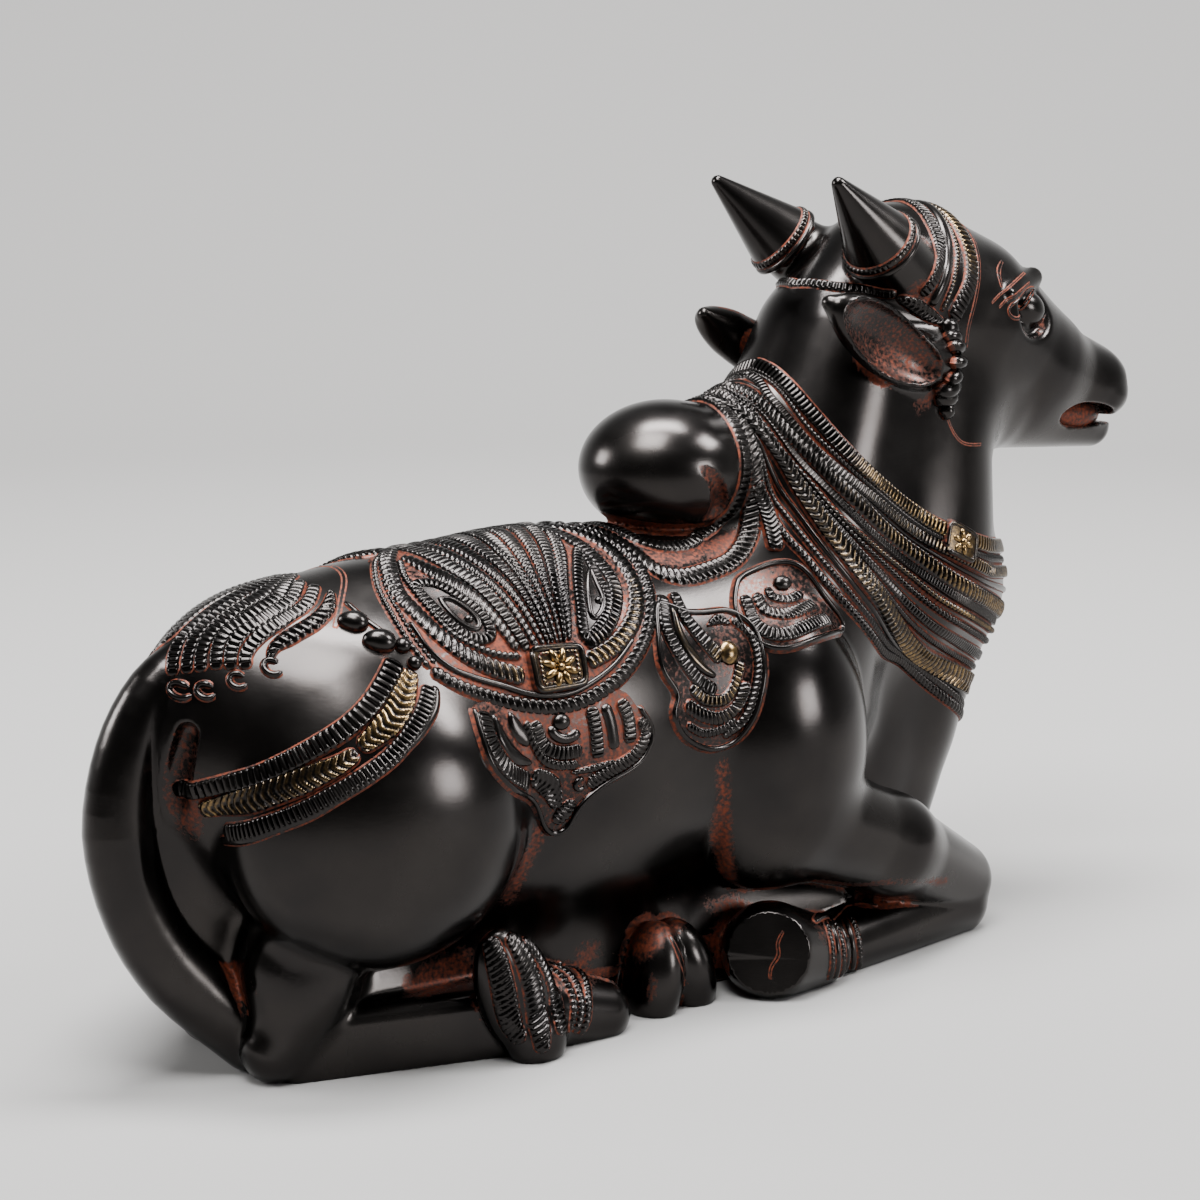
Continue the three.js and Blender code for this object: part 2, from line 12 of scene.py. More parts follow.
import logging
import math
from dataclasses import dataclass
from enum import Enum
from functools import partial
from typing import Optional, Sequence, Union

import bpy
import numpy as np
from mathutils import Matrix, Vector


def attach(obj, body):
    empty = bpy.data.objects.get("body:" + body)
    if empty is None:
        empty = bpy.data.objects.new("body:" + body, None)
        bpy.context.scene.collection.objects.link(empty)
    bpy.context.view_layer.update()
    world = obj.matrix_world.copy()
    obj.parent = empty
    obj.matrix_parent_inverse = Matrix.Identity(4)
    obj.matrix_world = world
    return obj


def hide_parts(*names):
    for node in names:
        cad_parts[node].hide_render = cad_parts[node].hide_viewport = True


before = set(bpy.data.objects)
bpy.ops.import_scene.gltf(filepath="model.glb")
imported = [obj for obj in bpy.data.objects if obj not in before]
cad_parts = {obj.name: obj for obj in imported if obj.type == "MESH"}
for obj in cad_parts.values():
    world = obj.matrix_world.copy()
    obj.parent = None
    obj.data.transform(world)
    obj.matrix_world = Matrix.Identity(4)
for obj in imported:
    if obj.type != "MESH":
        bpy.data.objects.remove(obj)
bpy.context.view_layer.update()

Array = np.ndarray
Point = tuple[float, float, float]
Flat = tuple[float, float]
Line = Sequence[tuple[float, ...]]

log = logging.getLogger("nandi")

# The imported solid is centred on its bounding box: this point of the modelling frame is its origin
CENTRE = np.array([22.084, 0.009, 0.0])
MM = 0.001


# The rounded masses the bull is melted together from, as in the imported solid


@dataclass(frozen=True)
class Egg:
    """An ellipsoid: its centre, half axes, and turn about x, y and z in degrees."""

    centre: Point
    size: Point
    turn: Point = (0, 0, 0)

    def hub(self) -> tuple[Array, float]:
        """The middle of the form and how far it reaches."""
        return np.array(self.centre, float), max(self.size)

    def distance(self, p: Array) -> Array:
        """How far each point is outside the form.

        Args:
            p: points, one a row.
        Returns:
            One distance for each point, negative inside.
        """
        ax, ay, az = (math.radians(t) for t in self.turn)
        rx = np.array([[1, 0, 0], [0, math.cos(ax), -math.sin(ax)], [0, math.sin(ax), math.cos(ax)]])
        ry = np.array([[math.cos(ay), 0, math.sin(ay)], [0, 1, 0], [-math.sin(ay), 0, math.cos(ay)]])
        rz = np.array([[math.cos(az), -math.sin(az), 0], [math.sin(az), math.cos(az), 0], [0, 0, 1]])
        local = (p - self.centre) @ (rx @ ry @ rz) / self.size
        inner = np.linalg.norm(local, axis=1)
        slope = np.linalg.norm(local / self.size, axis=1)
        return inner * (inner - 1) / np.maximum(slope, 1e-9)


@dataclass(frozen=True)
class Limb:
    """A tapered round bar from one ball to another."""

    start: Point
    end: Point
    start_radius: float
    end_radius: float

    def hub(self) -> tuple[Array, float]:
        """The middle of the form and how far it reaches."""
        a, b = np.array(self.start, float), np.array(self.end, float)
        return (a + b) / 2, float(np.linalg.norm(b - a)) / 2 + max(self.start_radius, self.end_radius)

    def distance(self, p: Array) -> Array:
        """How far each point is outside the form.

        Args:
            p: points, one a row.
        Returns:
            One distance for each point, negative inside.
        """
        a, b = np.array(self.start, float), np.array(self.end, float)
        ba = b - a
        length2 = float(ba @ ba)
        taper = self.start_radius - self.end_radius
        a2 = length2 - taper * taper
        pa = p - a
        y = pa @ ba
        z = y - length2
        x2 = np.sum((pa * length2 - np.outer(y, ba)) ** 2, axis=1)
        y2 = y * y * length2
        z2 = z * z * length2
        k = math.copysign(1, taper) * taper * taper * x2
        side = (np.sqrt(x2 * a2 / length2) + y * taper) / length2 - self.start_radius
        first = np.sqrt(x2 + y2) / length2 - self.start_radius
        last = np.sqrt(x2 + z2) / length2 - self.end_radius
        return np.where(np.sign(z) * a2 * z2 > k, last, np.where(np.sign(y) * a2 * y2 < k, first, side))


def curve(points: Line, closed: bool = False, count: int = 24) -> Array:
    """A smooth curve through a few points.

    Args:
        points: the points it passes through.
        closed: whether it returns to the first of them.
        count: how many steps it takes between two points.
    Returns:
        The points along it.
    """
    p = np.array(points, float)
    if closed:
        p = np.vstack([p[-1], p, p[0], p[1]])
    else:
        p = np.vstack([2 * p[0] - p[1], p, 2 * p[-1] - p[-2]])
    t = np.linspace(0, 1, count, endpoint=False)[:, None]
    parts = []
    for a, b, c, d in zip(p, p[1:], p[2:], p[3:]):
        parts.append(b + 0.5 * t * (c - a + t * (2 * a - 5 * b + 4 * c - d + t * (3 * (b - c) + d - a))))
    return np.vstack(parts + ([parts[0][:1]] if closed else [p[-2:-1]]))


@dataclass(frozen=True)
class Strap:
    """A chain of tapered round bars that runs smoothly through several points."""

    points: Sequence[Point]
    radii: Sequence[float]
    links_between: int = 4

    def links(self) -> list[Limb]:
        """The bars of the chain."""
        route = curve(self.points, count=self.links_between)
        at = np.arange(len(route)) / self.links_between
        radii = np.interp(at, np.arange(len(self.radii)), self.radii)
        ends = zip(route.tolist(), route[1:].tolist(), radii, radii[1:])
        return [Limb(tuple(a), tuple(b), float(ra), float(rb)) for a, b, ra, rb in ends]

    def hub(self) -> tuple[Array, float]:
        """The middle of the form and how far it reaches."""
        p = curve(self.points, count=self.links_between)
        middle = (p.min(0) + p.max(0)) / 2
        return middle, float(np.linalg.norm(p - middle, axis=1).max()) + max(self.radii)

    def distance(self, p: Array) -> Array:
        """How far each point is outside the nearest bar."""
        return np.min([link.distance(p) for link in self.links()], axis=0)


@dataclass(frozen=True)
class Bar:
    """A box with rounded edges along a line."""

    start: Point
    end: Point
    half_width: float
    half_height: float
    rounding: float

    def hub(self) -> tuple[Array, float]:
        """The middle of the form and how far it reaches."""
        a, b = np.array(self.start, float), np.array(self.end, float)
        half = (np.linalg.norm(b - a) / 2, self.half_width, self.half_height)
        return (a + b) / 2, float(np.linalg.norm(half))

    def distance(self, p: Array) -> Array:
        """How far each point is outside the form.

        Args:
            p: points, one a row.
        Returns:
            One distance for each point, negative inside.
        """
        a, b = np.array(self.start, float), np.array(self.end, float)
        e0 = (b - a) / np.linalg.norm(b - a)
        e1 = np.cross([0, 0, 1], e0)
        e1 /= np.linalg.norm(e1)
        axes = np.stack([e0, e1, np.cross(e0, e1)])
        half = np.array([np.linalg.norm(b - a) / 2, self.half_width, self.half_height]) - self.rounding
        q = np.abs((p - (a + b) / 2) @ axes.T) - half
        return np.linalg.norm(np.maximum(q, 0), axis=1) + np.minimum(q.max(1), 0) - self.rounding


@dataclass(frozen=True)
class Trimmed:
    """A form cut off flat by a plane."""

    form: Limb
    point: Point
    facing: Point

    def hub(self) -> tuple[Array, float]:
        """The middle of the form and how far it reaches."""
        return self.form.hub()

    def distance(self, p: Array) -> Array:
        """How far each point is outside what the plane leaves."""
        n = np.array(self.facing, float)
        return np.maximum(self.form.distance(p), (p - self.point) @ (n / np.linalg.norm(n)))


Form = Union[Egg, Limb, Strap, Bar, Trimmed]


class Hold(Enum):
    """How a mass joins the body: added or cut away, on the middle line or on both flanks."""

    MELT = "melt"
    PAIR = "pair"
    CUT = "cut"
    CUT_PAIR = "cut_pair"


Mass = tuple[Form, float, Hold]


def ear(side: int, forward: float, drop: float, height: float) -> list[Mass]:
    """The masses of one ear.

    Args:
        side: -1 for the right ear, 1 for the left one.
        forward: how far it sits ahead of the right ear.
        drop: how much lower it hangs.
        height: half the height of its bowl.
    Returns:
        The ear's masses in the order they melt.
    """

    def at(x: float, y: float, z: float) -> Point:
        return (x + forward, side * y, z - drop)

    lean = (0, 29, side * -6)
    return [
        (Egg(at(76, 31, 181), (23, 5.5, height), lean), 2, Hold.MELT),
        (Limb(at(66, 31.5, 187), at(56, 30, 192.5), height * 0.5, 1.5), 5, Hold.MELT),
        (Limb(at(98, 23, 174), at(90, 27, 175), height, height * 0.75), 4, Hold.MELT),
        (Egg(at(77, 36, 180.4), (22.5, 7.8, height - 0.6), lean), 0.6, Hold.CUT),
    ]


# The right horn's cone, from the middle of its open foot to its tip
HORN_FOOT: Point = (83.5, -21.6, 206.2)
HORN_TIP: Point = (61.5, -27.3, 224.8)

# Forms that are cut away: the hooked groove low on each side of the hump, the mouth's corner and
# slit, and the channel beside the tail
HUMP_HOOK = ([(18, -24.5, 149), (24, -24, 143), (27, -19.5, 135), (22, -17.5, 129)], (2, 3, 3, 1.8))
MOUTH_CORNER = Egg((178, -10.5, 152.3), (13, 8, 4.2), (0, 4, 0))
MOUTH_SLIT = Egg((197, 0, 149.8), (16, 22, 1.5), (0, 3, 0))
TAIL_GUTTER = (
    [(-134, -14, 92), (-139, -13, 75), (-141, -14, 57), (-135, -16, 40), (-124, -19, 27)],
    (3, 4.5, 5, 4.5, 3),
)


def bull_masses() -> list[Mass]:
    """Every mass of the bull, in the order in which they melt together."""
    melt, pair, cut, cut_pair = Hold.MELT, Hold.PAIR, Hold.CUT, Hold.CUT_PAIR
    torso = [
        (Egg((-24, 0, 76), (92, 46, 56)), 1, melt),
        (Egg((-80, 0, 78), (56, 36, 49)), 14, melt),
        (Egg((-107, 0, 88), (33, 25, 35)), 10, melt),
        (Egg((36, 0, 82), (56, 42, 50)), 14, melt),
        (Limb((-92, 0, 12), (70, 0, 12), 25, 27), 14, melt),
        (Egg((-122, 0, 54), (24, 7, 46), (0, -8, 0)), 6, melt),
    ]
    haunches = [
        (Egg((-88, -18, 82), (36, 27, 34), (0, -12, 0)), 10, pair),
        (Egg((-88, -26, 67), (40, 27.5, 40), (0, 0, -12)), 3.5, pair),
        (Egg((-106, -16, 26), (15, 15, 20)), 6, pair),
        (Limb((-114, -18, 8), (-104, -23, 26), 9, 9), 4, pair),
    ]
    neck = [
        (Limb((64, 0, 112), (86, 0, 176), 35, 26), 12, melt),
        (Limb((104, 0, 112), (112, 0, 156), 34, 26), 14, melt),
        (Limb((125, 0, 101), (116, 0, 62), 21, 13), 12, melt),
        (Limb((116, 0, 62), (108, 0, 26), 13, 11), 8, melt),
        (Egg((86, 0, 66), (42, 19, 50)), 8, melt),
    ]
    hump = [
        (Egg((22, 0, 146), (25, 22.5, 19)), 1.5, melt),
        (Limb((34, 0, 142), (52, 0, 148), 17, 20), 6, melt),
    ]
    head = [
        (Egg((108, 0, 187), (33, 27, 32)), 8, melt),
        (Limb((130, 0, 184), (160, 0, 169), 26, 19.5), 6, melt),
        (Limb((158, 0, 168), (186, 0, 161.5), 18.5, 13.5), 5, melt),
        (Egg((186, -6, 161), (13, 8, 9.5)), 4, pair),
        (Limb((146, 0, 158), (191, 0, 147), 15, 6.5), 5, melt),
        (Egg((122, 0, 165), (30, 22, 25), (0, 12, 0)), 8, melt),
        (Egg((190, -5.5, 157), (8.5, 8, 6)), 2.5, pair),
        (MOUTH_CORNER, 1, cut_pair),
        (MOUTH_SLIT, 0.8, cut),
        (Egg((198, -9, 162), (4, 3, 2.5), (0, 30, 0)), 1, cut_pair),
    ]
    eyes = [
        (Egg((143, -22, 187), (9, 5, 8), (0, 20, 0)), 3, cut_pair),
        (Egg((143.5, -18, 187), (7, 5, 5.5), (0, 20, 0)), 1, pair),
        (Limb((131, -24, 192), (149, -15, 196), 2.2, 3.2), 2, pair),
        (Limb((134, -22, 182), (148, -16, 180), 1.8, 1.8), 2, pair),
    ]
    downwards = tuple(a - b for a, b in zip(HORN_FOOT, HORN_TIP))
    horns = [
        (Limb((98, -16, 196), HORN_FOOT, 12, 9.8), 4, pair),
        (Trimmed(Limb(HORN_FOOT, HORN_TIP, 11.3, 2), HORN_FOOT, downwards), 0.5, pair),
    ]
    forelegs = [
        (Egg((37, -28, 70), (31, 26, 43)), 2.5, pair),
        (Limb((40, -32, 50), (80, -32, 34), 19, 14.5), 4, pair),
        (Limb((80, -32, 34), (116, -22, 15), 14.5, 12), 5, pair),
        (Limb((116, -22, 8), (60, -32, 6), 11, 9.5), 1.5, pair),
        (Trimmed(Limb((48, -36, 8), (32, -38, 12), 11, 14), (26.5, -44, 12), (-0.66, -0.72, 0.2)), 1.5, pair),
    ]
    hind_legs = [
        (Bar((-112, -13, 6), (-46, -30, 6), 12, 12, 5), 2, pair),
        (Limb((-46, -32, 9), (-26, -35, 5), 13, 9.5), 2, pair),
        (Egg((-20, -37, 10), (11, 1.3, 10), (0, 0, -8)), 1, cut_pair),
        (Egg((-56, -41, 18), (10.5, 6.5, 19), (0, -22, 0)), 1.5, melt),
        (Egg((-50.5, -43.5, 5), (8.5, 6.5, 9)), 2.5, melt),
        (Egg((-4, -31, 9), (8, 10, 16), (0, 8, 0)), 1.5, melt),
        (Egg((8, -29, 8), (8.5, 10, 16), (0, -14, 0)), 1, melt),
    ]
    tail_line = [
        (-124, 0, 110), (-136, 0, 101), (-144, 0, 86), (-147, 0, 66), (-143, -1, 45), (-133, -3, 27),
        (-115, -7, 8),
    ]
    tail = [
        (Strap(tail_line, (6, 7, 8, 9, 9, 9.5, 9)), 1.5, melt),
        (Strap(*TAIL_GUTTER), 1.5, cut_pair),
    ]
    pit = [(Strap(*HUMP_HOOK), 0.8, cut_pair)]
    ears = ear(-1, 0, 0, 9.6) + ear(1, 3, 6.5, 8)
    return torso + haunches + neck + hump + head + eyes + horns + ears + forelegs + hind_legs + tail + pit


def smooth(low: float, high: float, v: Array) -> Array:
    """0 below low, 1 above high, and an even curve between."""
    t = np.clip((v - low) / (high - low), 0, 1)
    return t * t * (3 - 2 * t)


@dataclass
class Skin:
    """The bull's surface: where the melted masses end.

    probe is how far from a point the distances are taken that give its outward direction.  A
    line cast at the surface goes step_share of its distance at a step, most_steps times at the
    most, ends when it is within near, and has met the surface when it is within met.
    """

    masses: list[Mass]
    probe: float = 0.15
    step_share: float = 0.75
    most_steps: int = 120
    near: float = 0.01
    met: float = 0.2

    def __post_init__(self) -> None:
        """Works out each mass's reach once."""
        self.hubs = [form.hub() for form, _, _ in self.masses]

    def distance(self, p: Array) -> Array:
        """How far each point is outside the bull.

        Args:
            p: points, one a row.
        Returns:
            One distance for each point, negative inside.
        """
        d = np.full(len(p), 1e6)
        folded = p * (1, 0, 1) - np.abs(p) * (0, 1, 0)
        for (form, width, hold), (centre, reach) in zip(self.masses, self.hubs):
            q = folded if hold in (Hold.PAIR, Hold.CUT_PAIR) else p
            far = np.sqrt(np.sum((q - centre) ** 2, axis=1)) - reach
            sign = -1 if hold in (Hold.CUT, Hold.CUT_PAIR) else 1
            near = np.flatnonzero(far <= sign * d + width)
            if not len(near):
                continue
            a, b = sign * d[near], form.distance(q[near])
            close = np.maximum(width - np.abs(a - b), 0) / width
            d[near] = sign * (np.minimum(a, b) - close * close * width / 4)
        return d

    def normals(self, p: Array) -> Array:
        """The outward direction at each point, by four nearby distances."""
        corners = np.array([(1, -1, -1), (-1, -1, 1), (-1, 1, -1), (1, 1, 1)], float)
        n = sum(np.outer(self.distance(p + self.probe * k), k) for k in corners)
        return n / np.maximum(np.linalg.norm(n, axis=1), 1e-9)[:, None]

    def settled(self, p: Array, times: int = 3) -> Array:
        """The points moved onto the surface along its outward direction."""
        for _ in range(times):
            p = p - self.distance(p)[:, None] * self.normals(p)
        return p

    def struck(self, start: Array, way: Array, reach: float) -> tuple[Array, Array]:
        """Where straight lines from outside first meet the surface.

        Args:
            start: where each line starts.
            way: each line's direction, one long.
            reach: how far a line may run.
        Returns:
            The points, and which of them met the surface.
        """
        gone = np.zeros(len(start))
        going = np.arange(len(start))
        for _ in range(self.most_steps):
            d = self.distance(start[going] + gone[going, None] * way[going])
            gone[going] = np.minimum(gone[going] + self.step_share * d, reach)
            going = going[(np.abs(d) > self.near) & (gone[going] < reach)]
            if not len(going):
                break
        p = start + gone[:, None] * way
        return p, (gone < reach) & (np.abs(self.distance(p)) < self.met)


# Routes: lines drawn flat in one view and cast onto the skin


class View(Enum):
    """The flat sheet that a line is drawn on."""

    SIDE = "x and z, from the right"
    TOP = "x and the way out from the middle, from above"
    FLANK = "x and the way down from the spine, on the unrolled flank"
    SPACE = "x, y and z near the skin"


# The flank is unrolled from a barrel about an axis at this height
BARREL_AXIS = 72.0
BARREL_RADIUS = 50.0

# Where lines cast onto the skin start, and how far they run: from the right, from above and
# from outside the barrel
SIDE_START, SIDE_REACH = -90.0, 90.0
TOP_START, TOP_REACH = 240.0, 200.0
BARREL_START, BARREL_REACH = 110.0, 108.0


def cast(skin: Skin, view: View, flat: Array) -> tuple[Array, Array]:
    """Points of a flat sheet brought onto the skin.

    Args:
        skin: the bull's surface.
        view: the sheet they are drawn on.
        flat: the points, two numbers a row.
    Returns:
        The points on the skin, and which of them met it.
    """
    if view is View.SPACE:
        return skin.settled(flat, 4), np.ones(len(flat), bool)
    u, v = flat[:, 0], flat[:, 1]
    zero = np.zeros_like(u)
    if view is View.SIDE:
        inwards = np.tile([0.0, 1.0, 0.0], (len(u), 1))
        return skin.struck(np.stack([u, zero + SIDE_START, v], 1), inwards, SIDE_REACH)
    if view is View.TOP:
        downwards = np.tile([0.0, 0.0, -1.0], (len(u), 1))
        return skin.struck(np.stack([u, -v, zero + TOP_START], 1), downwards, TOP_REACH)
    out = np.stack([zero, -np.sin(v / BARREL_RADIUS), np.cos(v / BARREL_RADIUS)], 1)
    axis = np.stack([u, zero, zero + BARREL_AXIS], 1)
    return skin.struck(axis + BARREL_START * out, -out, BARREL_REACH)


def oval(middle: Flat, radii: Flat, start: float = 0, end: float = 360, count: int = 40) -> list[Flat]:
    """Points of an oval or of an arc of one, from one angle to another in degrees."""
    turns = np.radians(np.linspace(start, end, count))
    return [(middle[0] + radii[0] * math.cos(a), middle[1] + radii[1] * math.sin(a)) for a in turns]


class Carve(Enum):
    """The chased patterns of the bands."""

    LADDER = "flat ribbon with cross cuts"
    ROPE = "round cord with slanting twists"
    FEATHER = "two rows of slanting lobes on a rib"
    SLANT = "one row of slanting lobes"
    BEADS = "row of beads"
    FRINGE = "fine hanging threads"
    PLAIN = "smooth round moulding"
    LINE = "fine stained line"


# How finely a band is cut up along its route, how soon its ends taper off, and the stained margin
# that runs down to the skin on each side of it
SMOOTH_STEP = 0.8
STEPS_IN_PITCH = 5
END_REACH = 1.6
MARGIN = 0.75
MARGIN_RISE = 0.12
SUNK = -0.15
MOST_COLUMNS = 12
COLUMN_SPREAD = 0.85

# How narrow a free end gets, and how far it tapers before it is closed on the skin
END_WIDTH = 0.25
END_CLOSED = 0.05

# Between which parts of its height a band stops being stained and starts being worn to brass
STAINED_UP_TO = (0.2, 0.7)
WORN_FROM = (0.5, 0.9)

# A route carried on to the middle line: where it is cut off to start, how many points back its
# direction is taken, its stride, how many it may take, and how much of each leads sideways
CARRY_FROM = -1.0
LOOK_BACK = 8
STRIDE = 0.7
MOST_STRIDES = 80
LEAST_SIDEWAYS = 0.25

# How often the kinks of a route are eased
EASINGS = 6

# A plate's top and the lip where it turns down, as shares of the way to its outline, and how far
# its edge is sunk
PLATE_TOP = 0.97
PLATE_LIP = 0.985
PLATE_SUNK = -0.5

# A bead's steps round and down, how much of its way down shows, and the angles from its top
# between which it gets stained
BEAD_SIDES = 20
BEAD_STEPS = 8
BEAD_SHOWN = 0.62
BEAD_STAIN = (1.1, 1.6)


def notch(phase: Array, width: float) -> Array:
    """1 in a narrow groove at each whole number of the phase, falling to 0 beside it."""
    off = np.abs((phase + 0.5) % 1 - 0.5)
    return np.exp(-((off / width) ** 2))


def relief(carve: Carve, s: Array, v: Array, pitch: float, half: float) -> Array:
    """The pattern's height from 0 at its ground to 1 at its top.

    Args:
        carve: the pattern.
        s: the way along the band.
        v: the way across it, from -1 to 1.
        pitch: the pattern's repeat.
        half: half the band's width.
    Returns:
        A height for each pair of s and v.
    """
    edge = np.clip((1 - np.abs(v)) * half / min(0.55, half * 0.6), 0, 1)
    flat = np.sqrt(1 - (1 - edge) ** 2)
    dome = np.sqrt(np.clip(1 - v * v, 0, 1))
    phase = s / pitch
    if carve is Carve.LADDER:
        inside = 1 - smooth(0.66, 0.82, np.abs(v))
        crown = 0.8 + 0.2 * dome
        return flat * crown * (
            1 - 0.6 * notch(phase, 0.12) * inside - 0.3 * notch((np.abs(v) - 0.77) / 2, 0.03)
        )
    if carve is Carve.ROPE:
        return dome * (1 - 0.5 * notch(phase + 0.45 * v, 0.18))
    if carve is Carve.FEATHER:
        lobes = 1 - 0.65 * notch(phase + 0.8 * np.abs(v) * half / pitch, 0.17)
        return flat * (0.25 + 0.75 * lobes) * (1 - 0.5 * np.exp(-((v / 0.09) ** 2)))
    if carve is Carve.SLANT:
        lobes = 1 - 0.7 * notch(phase + 0.45 * v * half / pitch + 0.12 * v * v, 0.17)
        return np.sqrt(np.clip(1 - v * v * 0.75, 0, 1)) * flat * (0.2 + 0.8 * lobes)
    if carve is Carve.BEADS:
        off = ((phase + 0.5) % 1 - 0.5) * 2
        return np.sqrt(np.clip(1 - v * v - off * off * 0.9, 0, 1)) + 0.12 * flat
    if carve is Carve.FRINGE:
        return flat * (0.9 - 0.35 * v - 0.4 * notch(phase, 0.24))
    if carve is Carve.LINE:
        return 0.5 * flat
    return dome


@dataclass
class Sheet:
    """Rows and columns of points with how stained and how worn to brass each is."""

    points: Array
    stain: Array
    gilt: Array


@dataclass
class Band:
    """One strip of carving: its route, width, height and pattern.

    half is half its width, and gilt how far its raised parts are worn to brass, each one
    number or several spread along the route.  lift is the ground it stands on above the skin.
    """

    view: View
    route: Line
    half: Union[float, Sequence[float]]
    carve: Carve
    height: float = 1.0
    pitch: float = 1.6
    lift: float = 0.0
    gilt: Union[float, Sequence[float]] = 0.0
    stain: float = 1.0
    closed: bool = False
    from_middle: bool = False
    to_middle: bool = False
    straight: bool = False

    def path(self, skin: Skin) -> Array:
        """The route on the skin, in even steps.

        Args:
            skin: the bull's surface.
        Returns:
            Points along the route, ending on the middle line where the band crosses it.
        """
        flat = np.array(self.route, float) if self.straight else curve(self.route, self.closed)
        p, met = cast(skin, self.view, flat)
        p = p[met]
        if self.from_middle:
            p = self.carried_on(skin, p[::-1])[::-1]
        if self.to_middle:
            p = self.carried_on(skin, p)
        gaps = np.linalg.norm(np.diff(p, axis=0), axis=1)
        along = np.concatenate([[0], np.cumsum(gaps)])
        keep = np.concatenate([[True], gaps > 1e-4])
        step = SMOOTH_STEP if self.carve in (Carve.PLAIN, Carve.LINE) else self.pitch / STEPS_IN_PITCH
        steps = np.linspace(0, along[-1], max(8, int(math.ceil(along[-1] / step))))
        even = np.stack([np.interp(steps, along[keep], p[keep, i]) for i in range(3)], 1)
        return skin.settled(self.eased(even), 2)

    def eased(self, p: Array) -> Array:
        """The points with small kinks smoothed out and the two ends left alone."""
        for _ in range(EASINGS):
            inner = 0.25 * p[:-2] + 0.5 * p[1:-1] + 0.25 * p[2:]
            p = np.vstack([p[:1], inner, p[-1:]])
        return p

    @staticmethod
    def carried_on(skin: Skin, p: Array) -> Array:
        """The route carried on over the skin to the middle line, the way it was going.

        Args:
            skin: the bull's surface.
            p: the route so far.
        Returns:
            The route with its last point on the middle line.
        """
        p = p[: np.flatnonzero(p[:, 1] < CARRY_FROM)[-1] + 1]
        spot, way = p[-1], p[-1] - p[-1 - LOOK_BACK]
        added = []
        for _ in range(MOST_STRIDES):
            n = skin.normals(spot[None])[0]
            way = way - (way @ n) * n
            way[1] = max(way[1], LEAST_SIDEWAYS * np.linalg.norm(way))
            way /= np.linalg.norm(way)
            spot = skin.settled((spot + way * STRIDE)[None], 1)[0]
            if spot[1] >= 0:
                break
            added.append(spot)
        last = np.array(added[-1] if added else p[-1])
        last[1] = 0
        return np.vstack([p] + [a[None] for a in added] + [last[None]])

    @staticmethod
    def spread(s: Array, values: Union[float, Sequence[float]]) -> Array:
        """One number, or several spread evenly along the band, at each of its steps."""
        several = np.atleast_1d(values)
        return np.interp(s, np.linspace(0, s[-1], len(several)), several)

    def across(self, skin: Skin, path: Array) -> Array:
        """The direction across the band.

        Args:
            skin: the bull's surface.
            path: the band's middle, step by step.
        Returns:
            A direction, one long, for each step.
        """
        if self.closed:
            tangent = np.vstack([path[1:], path[1:2]]) - np.vstack([path[-2:-1], path[:-1]])
        else:
            tangent = np.gradient(path, axis=0)
        across = np.cross(skin.normals(path), tangent)
        if self.from_middle:
            across[0, 1] = 0
        if self.to_middle:
            across[-1, 1] = 0
        return across / np.maximum(np.linalg.norm(across, axis=1), 1e-9)[:, None]

    def tapered(self, s: Array) -> Array:
        """How full the band is at each step: less at an end that isn't on the middle line."""
        full = np.ones(len(s))
        reach = min(END_REACH, s[-1] / 4)
        if not (self.closed or self.from_middle):
            full = np.minimum(full, np.sqrt(np.clip(s / reach, 0, 1)))
        if not (self.closed or self.to_middle):
            full = np.minimum(full, np.sqrt(np.clip((s[-1] - s) / reach, 0, 1)))
        return full

    def laid(self, skin: Skin) -> Sheet:
        """The band as a sheet of points on the skin.

        Args:
            skin: the bull's surface.
        Returns:
            The sheet, its rows along the band and its columns across it.
        """
        path = self.path(skin)
        s = np.concatenate([[0], np.cumsum(np.linalg.norm(np.diff(path, axis=0), axis=1))])
        pitch = s[-1] / max(1, round(s[-1] / self.pitch))
        half = self.spread(s, self.half)
        full = self.tapered(s)
        columns = min(MOST_COLUMNS, 2 * round(2 * float(half.max())) + 4)
        v = np.linspace(-1, 1, columns)
        v = np.sign(v) * np.abs(v) ** COLUMN_SPREAD
        v = np.concatenate([[-1], v, [1]])
        S, V = np.meshgrid(s, v, indexing="ij")
        offset = (half * (END_WIDTH + (1 - END_WIDTH) * full))[:, None] * v
        offset[:, 0] -= MARGIN
        offset[:, -1] += MARGIN
        p = path[:, None, :] + offset[..., None] * self.across(skin, path)[:, None, :]
        p = skin.settled(p.reshape(-1, 3), 2)
        up = relief(self.carve, S, V, pitch, float(half.mean())) * full[:, None]
        rise = self.lift + self.height * up
        edge = np.abs(V) == 1
        rise = np.where(edge, self.lift + MARGIN_RISE, rise)
        rise[:, (0, -1)] = SUNK
        rise = np.where(full[:, None] < END_CLOSED, SUNK, rise)
        p = (p + rise.reshape(-1, 1) * skin.normals(p)).reshape(len(s), -1, 3)
        if self.from_middle:
            p[0, :, 1] = 0
        if self.to_middle:
            p[-1, :, 1] = 0
        low = 1 - smooth(*STAINED_UP_TO, up)
        stain = np.where(edge, min(1.0, 0.4 + self.stain), self.stain * low)
        gilt = self.spread(s, self.gilt)[:, None] * smooth(*WORN_FROM, up)
        return Sheet(p, stain, gilt)


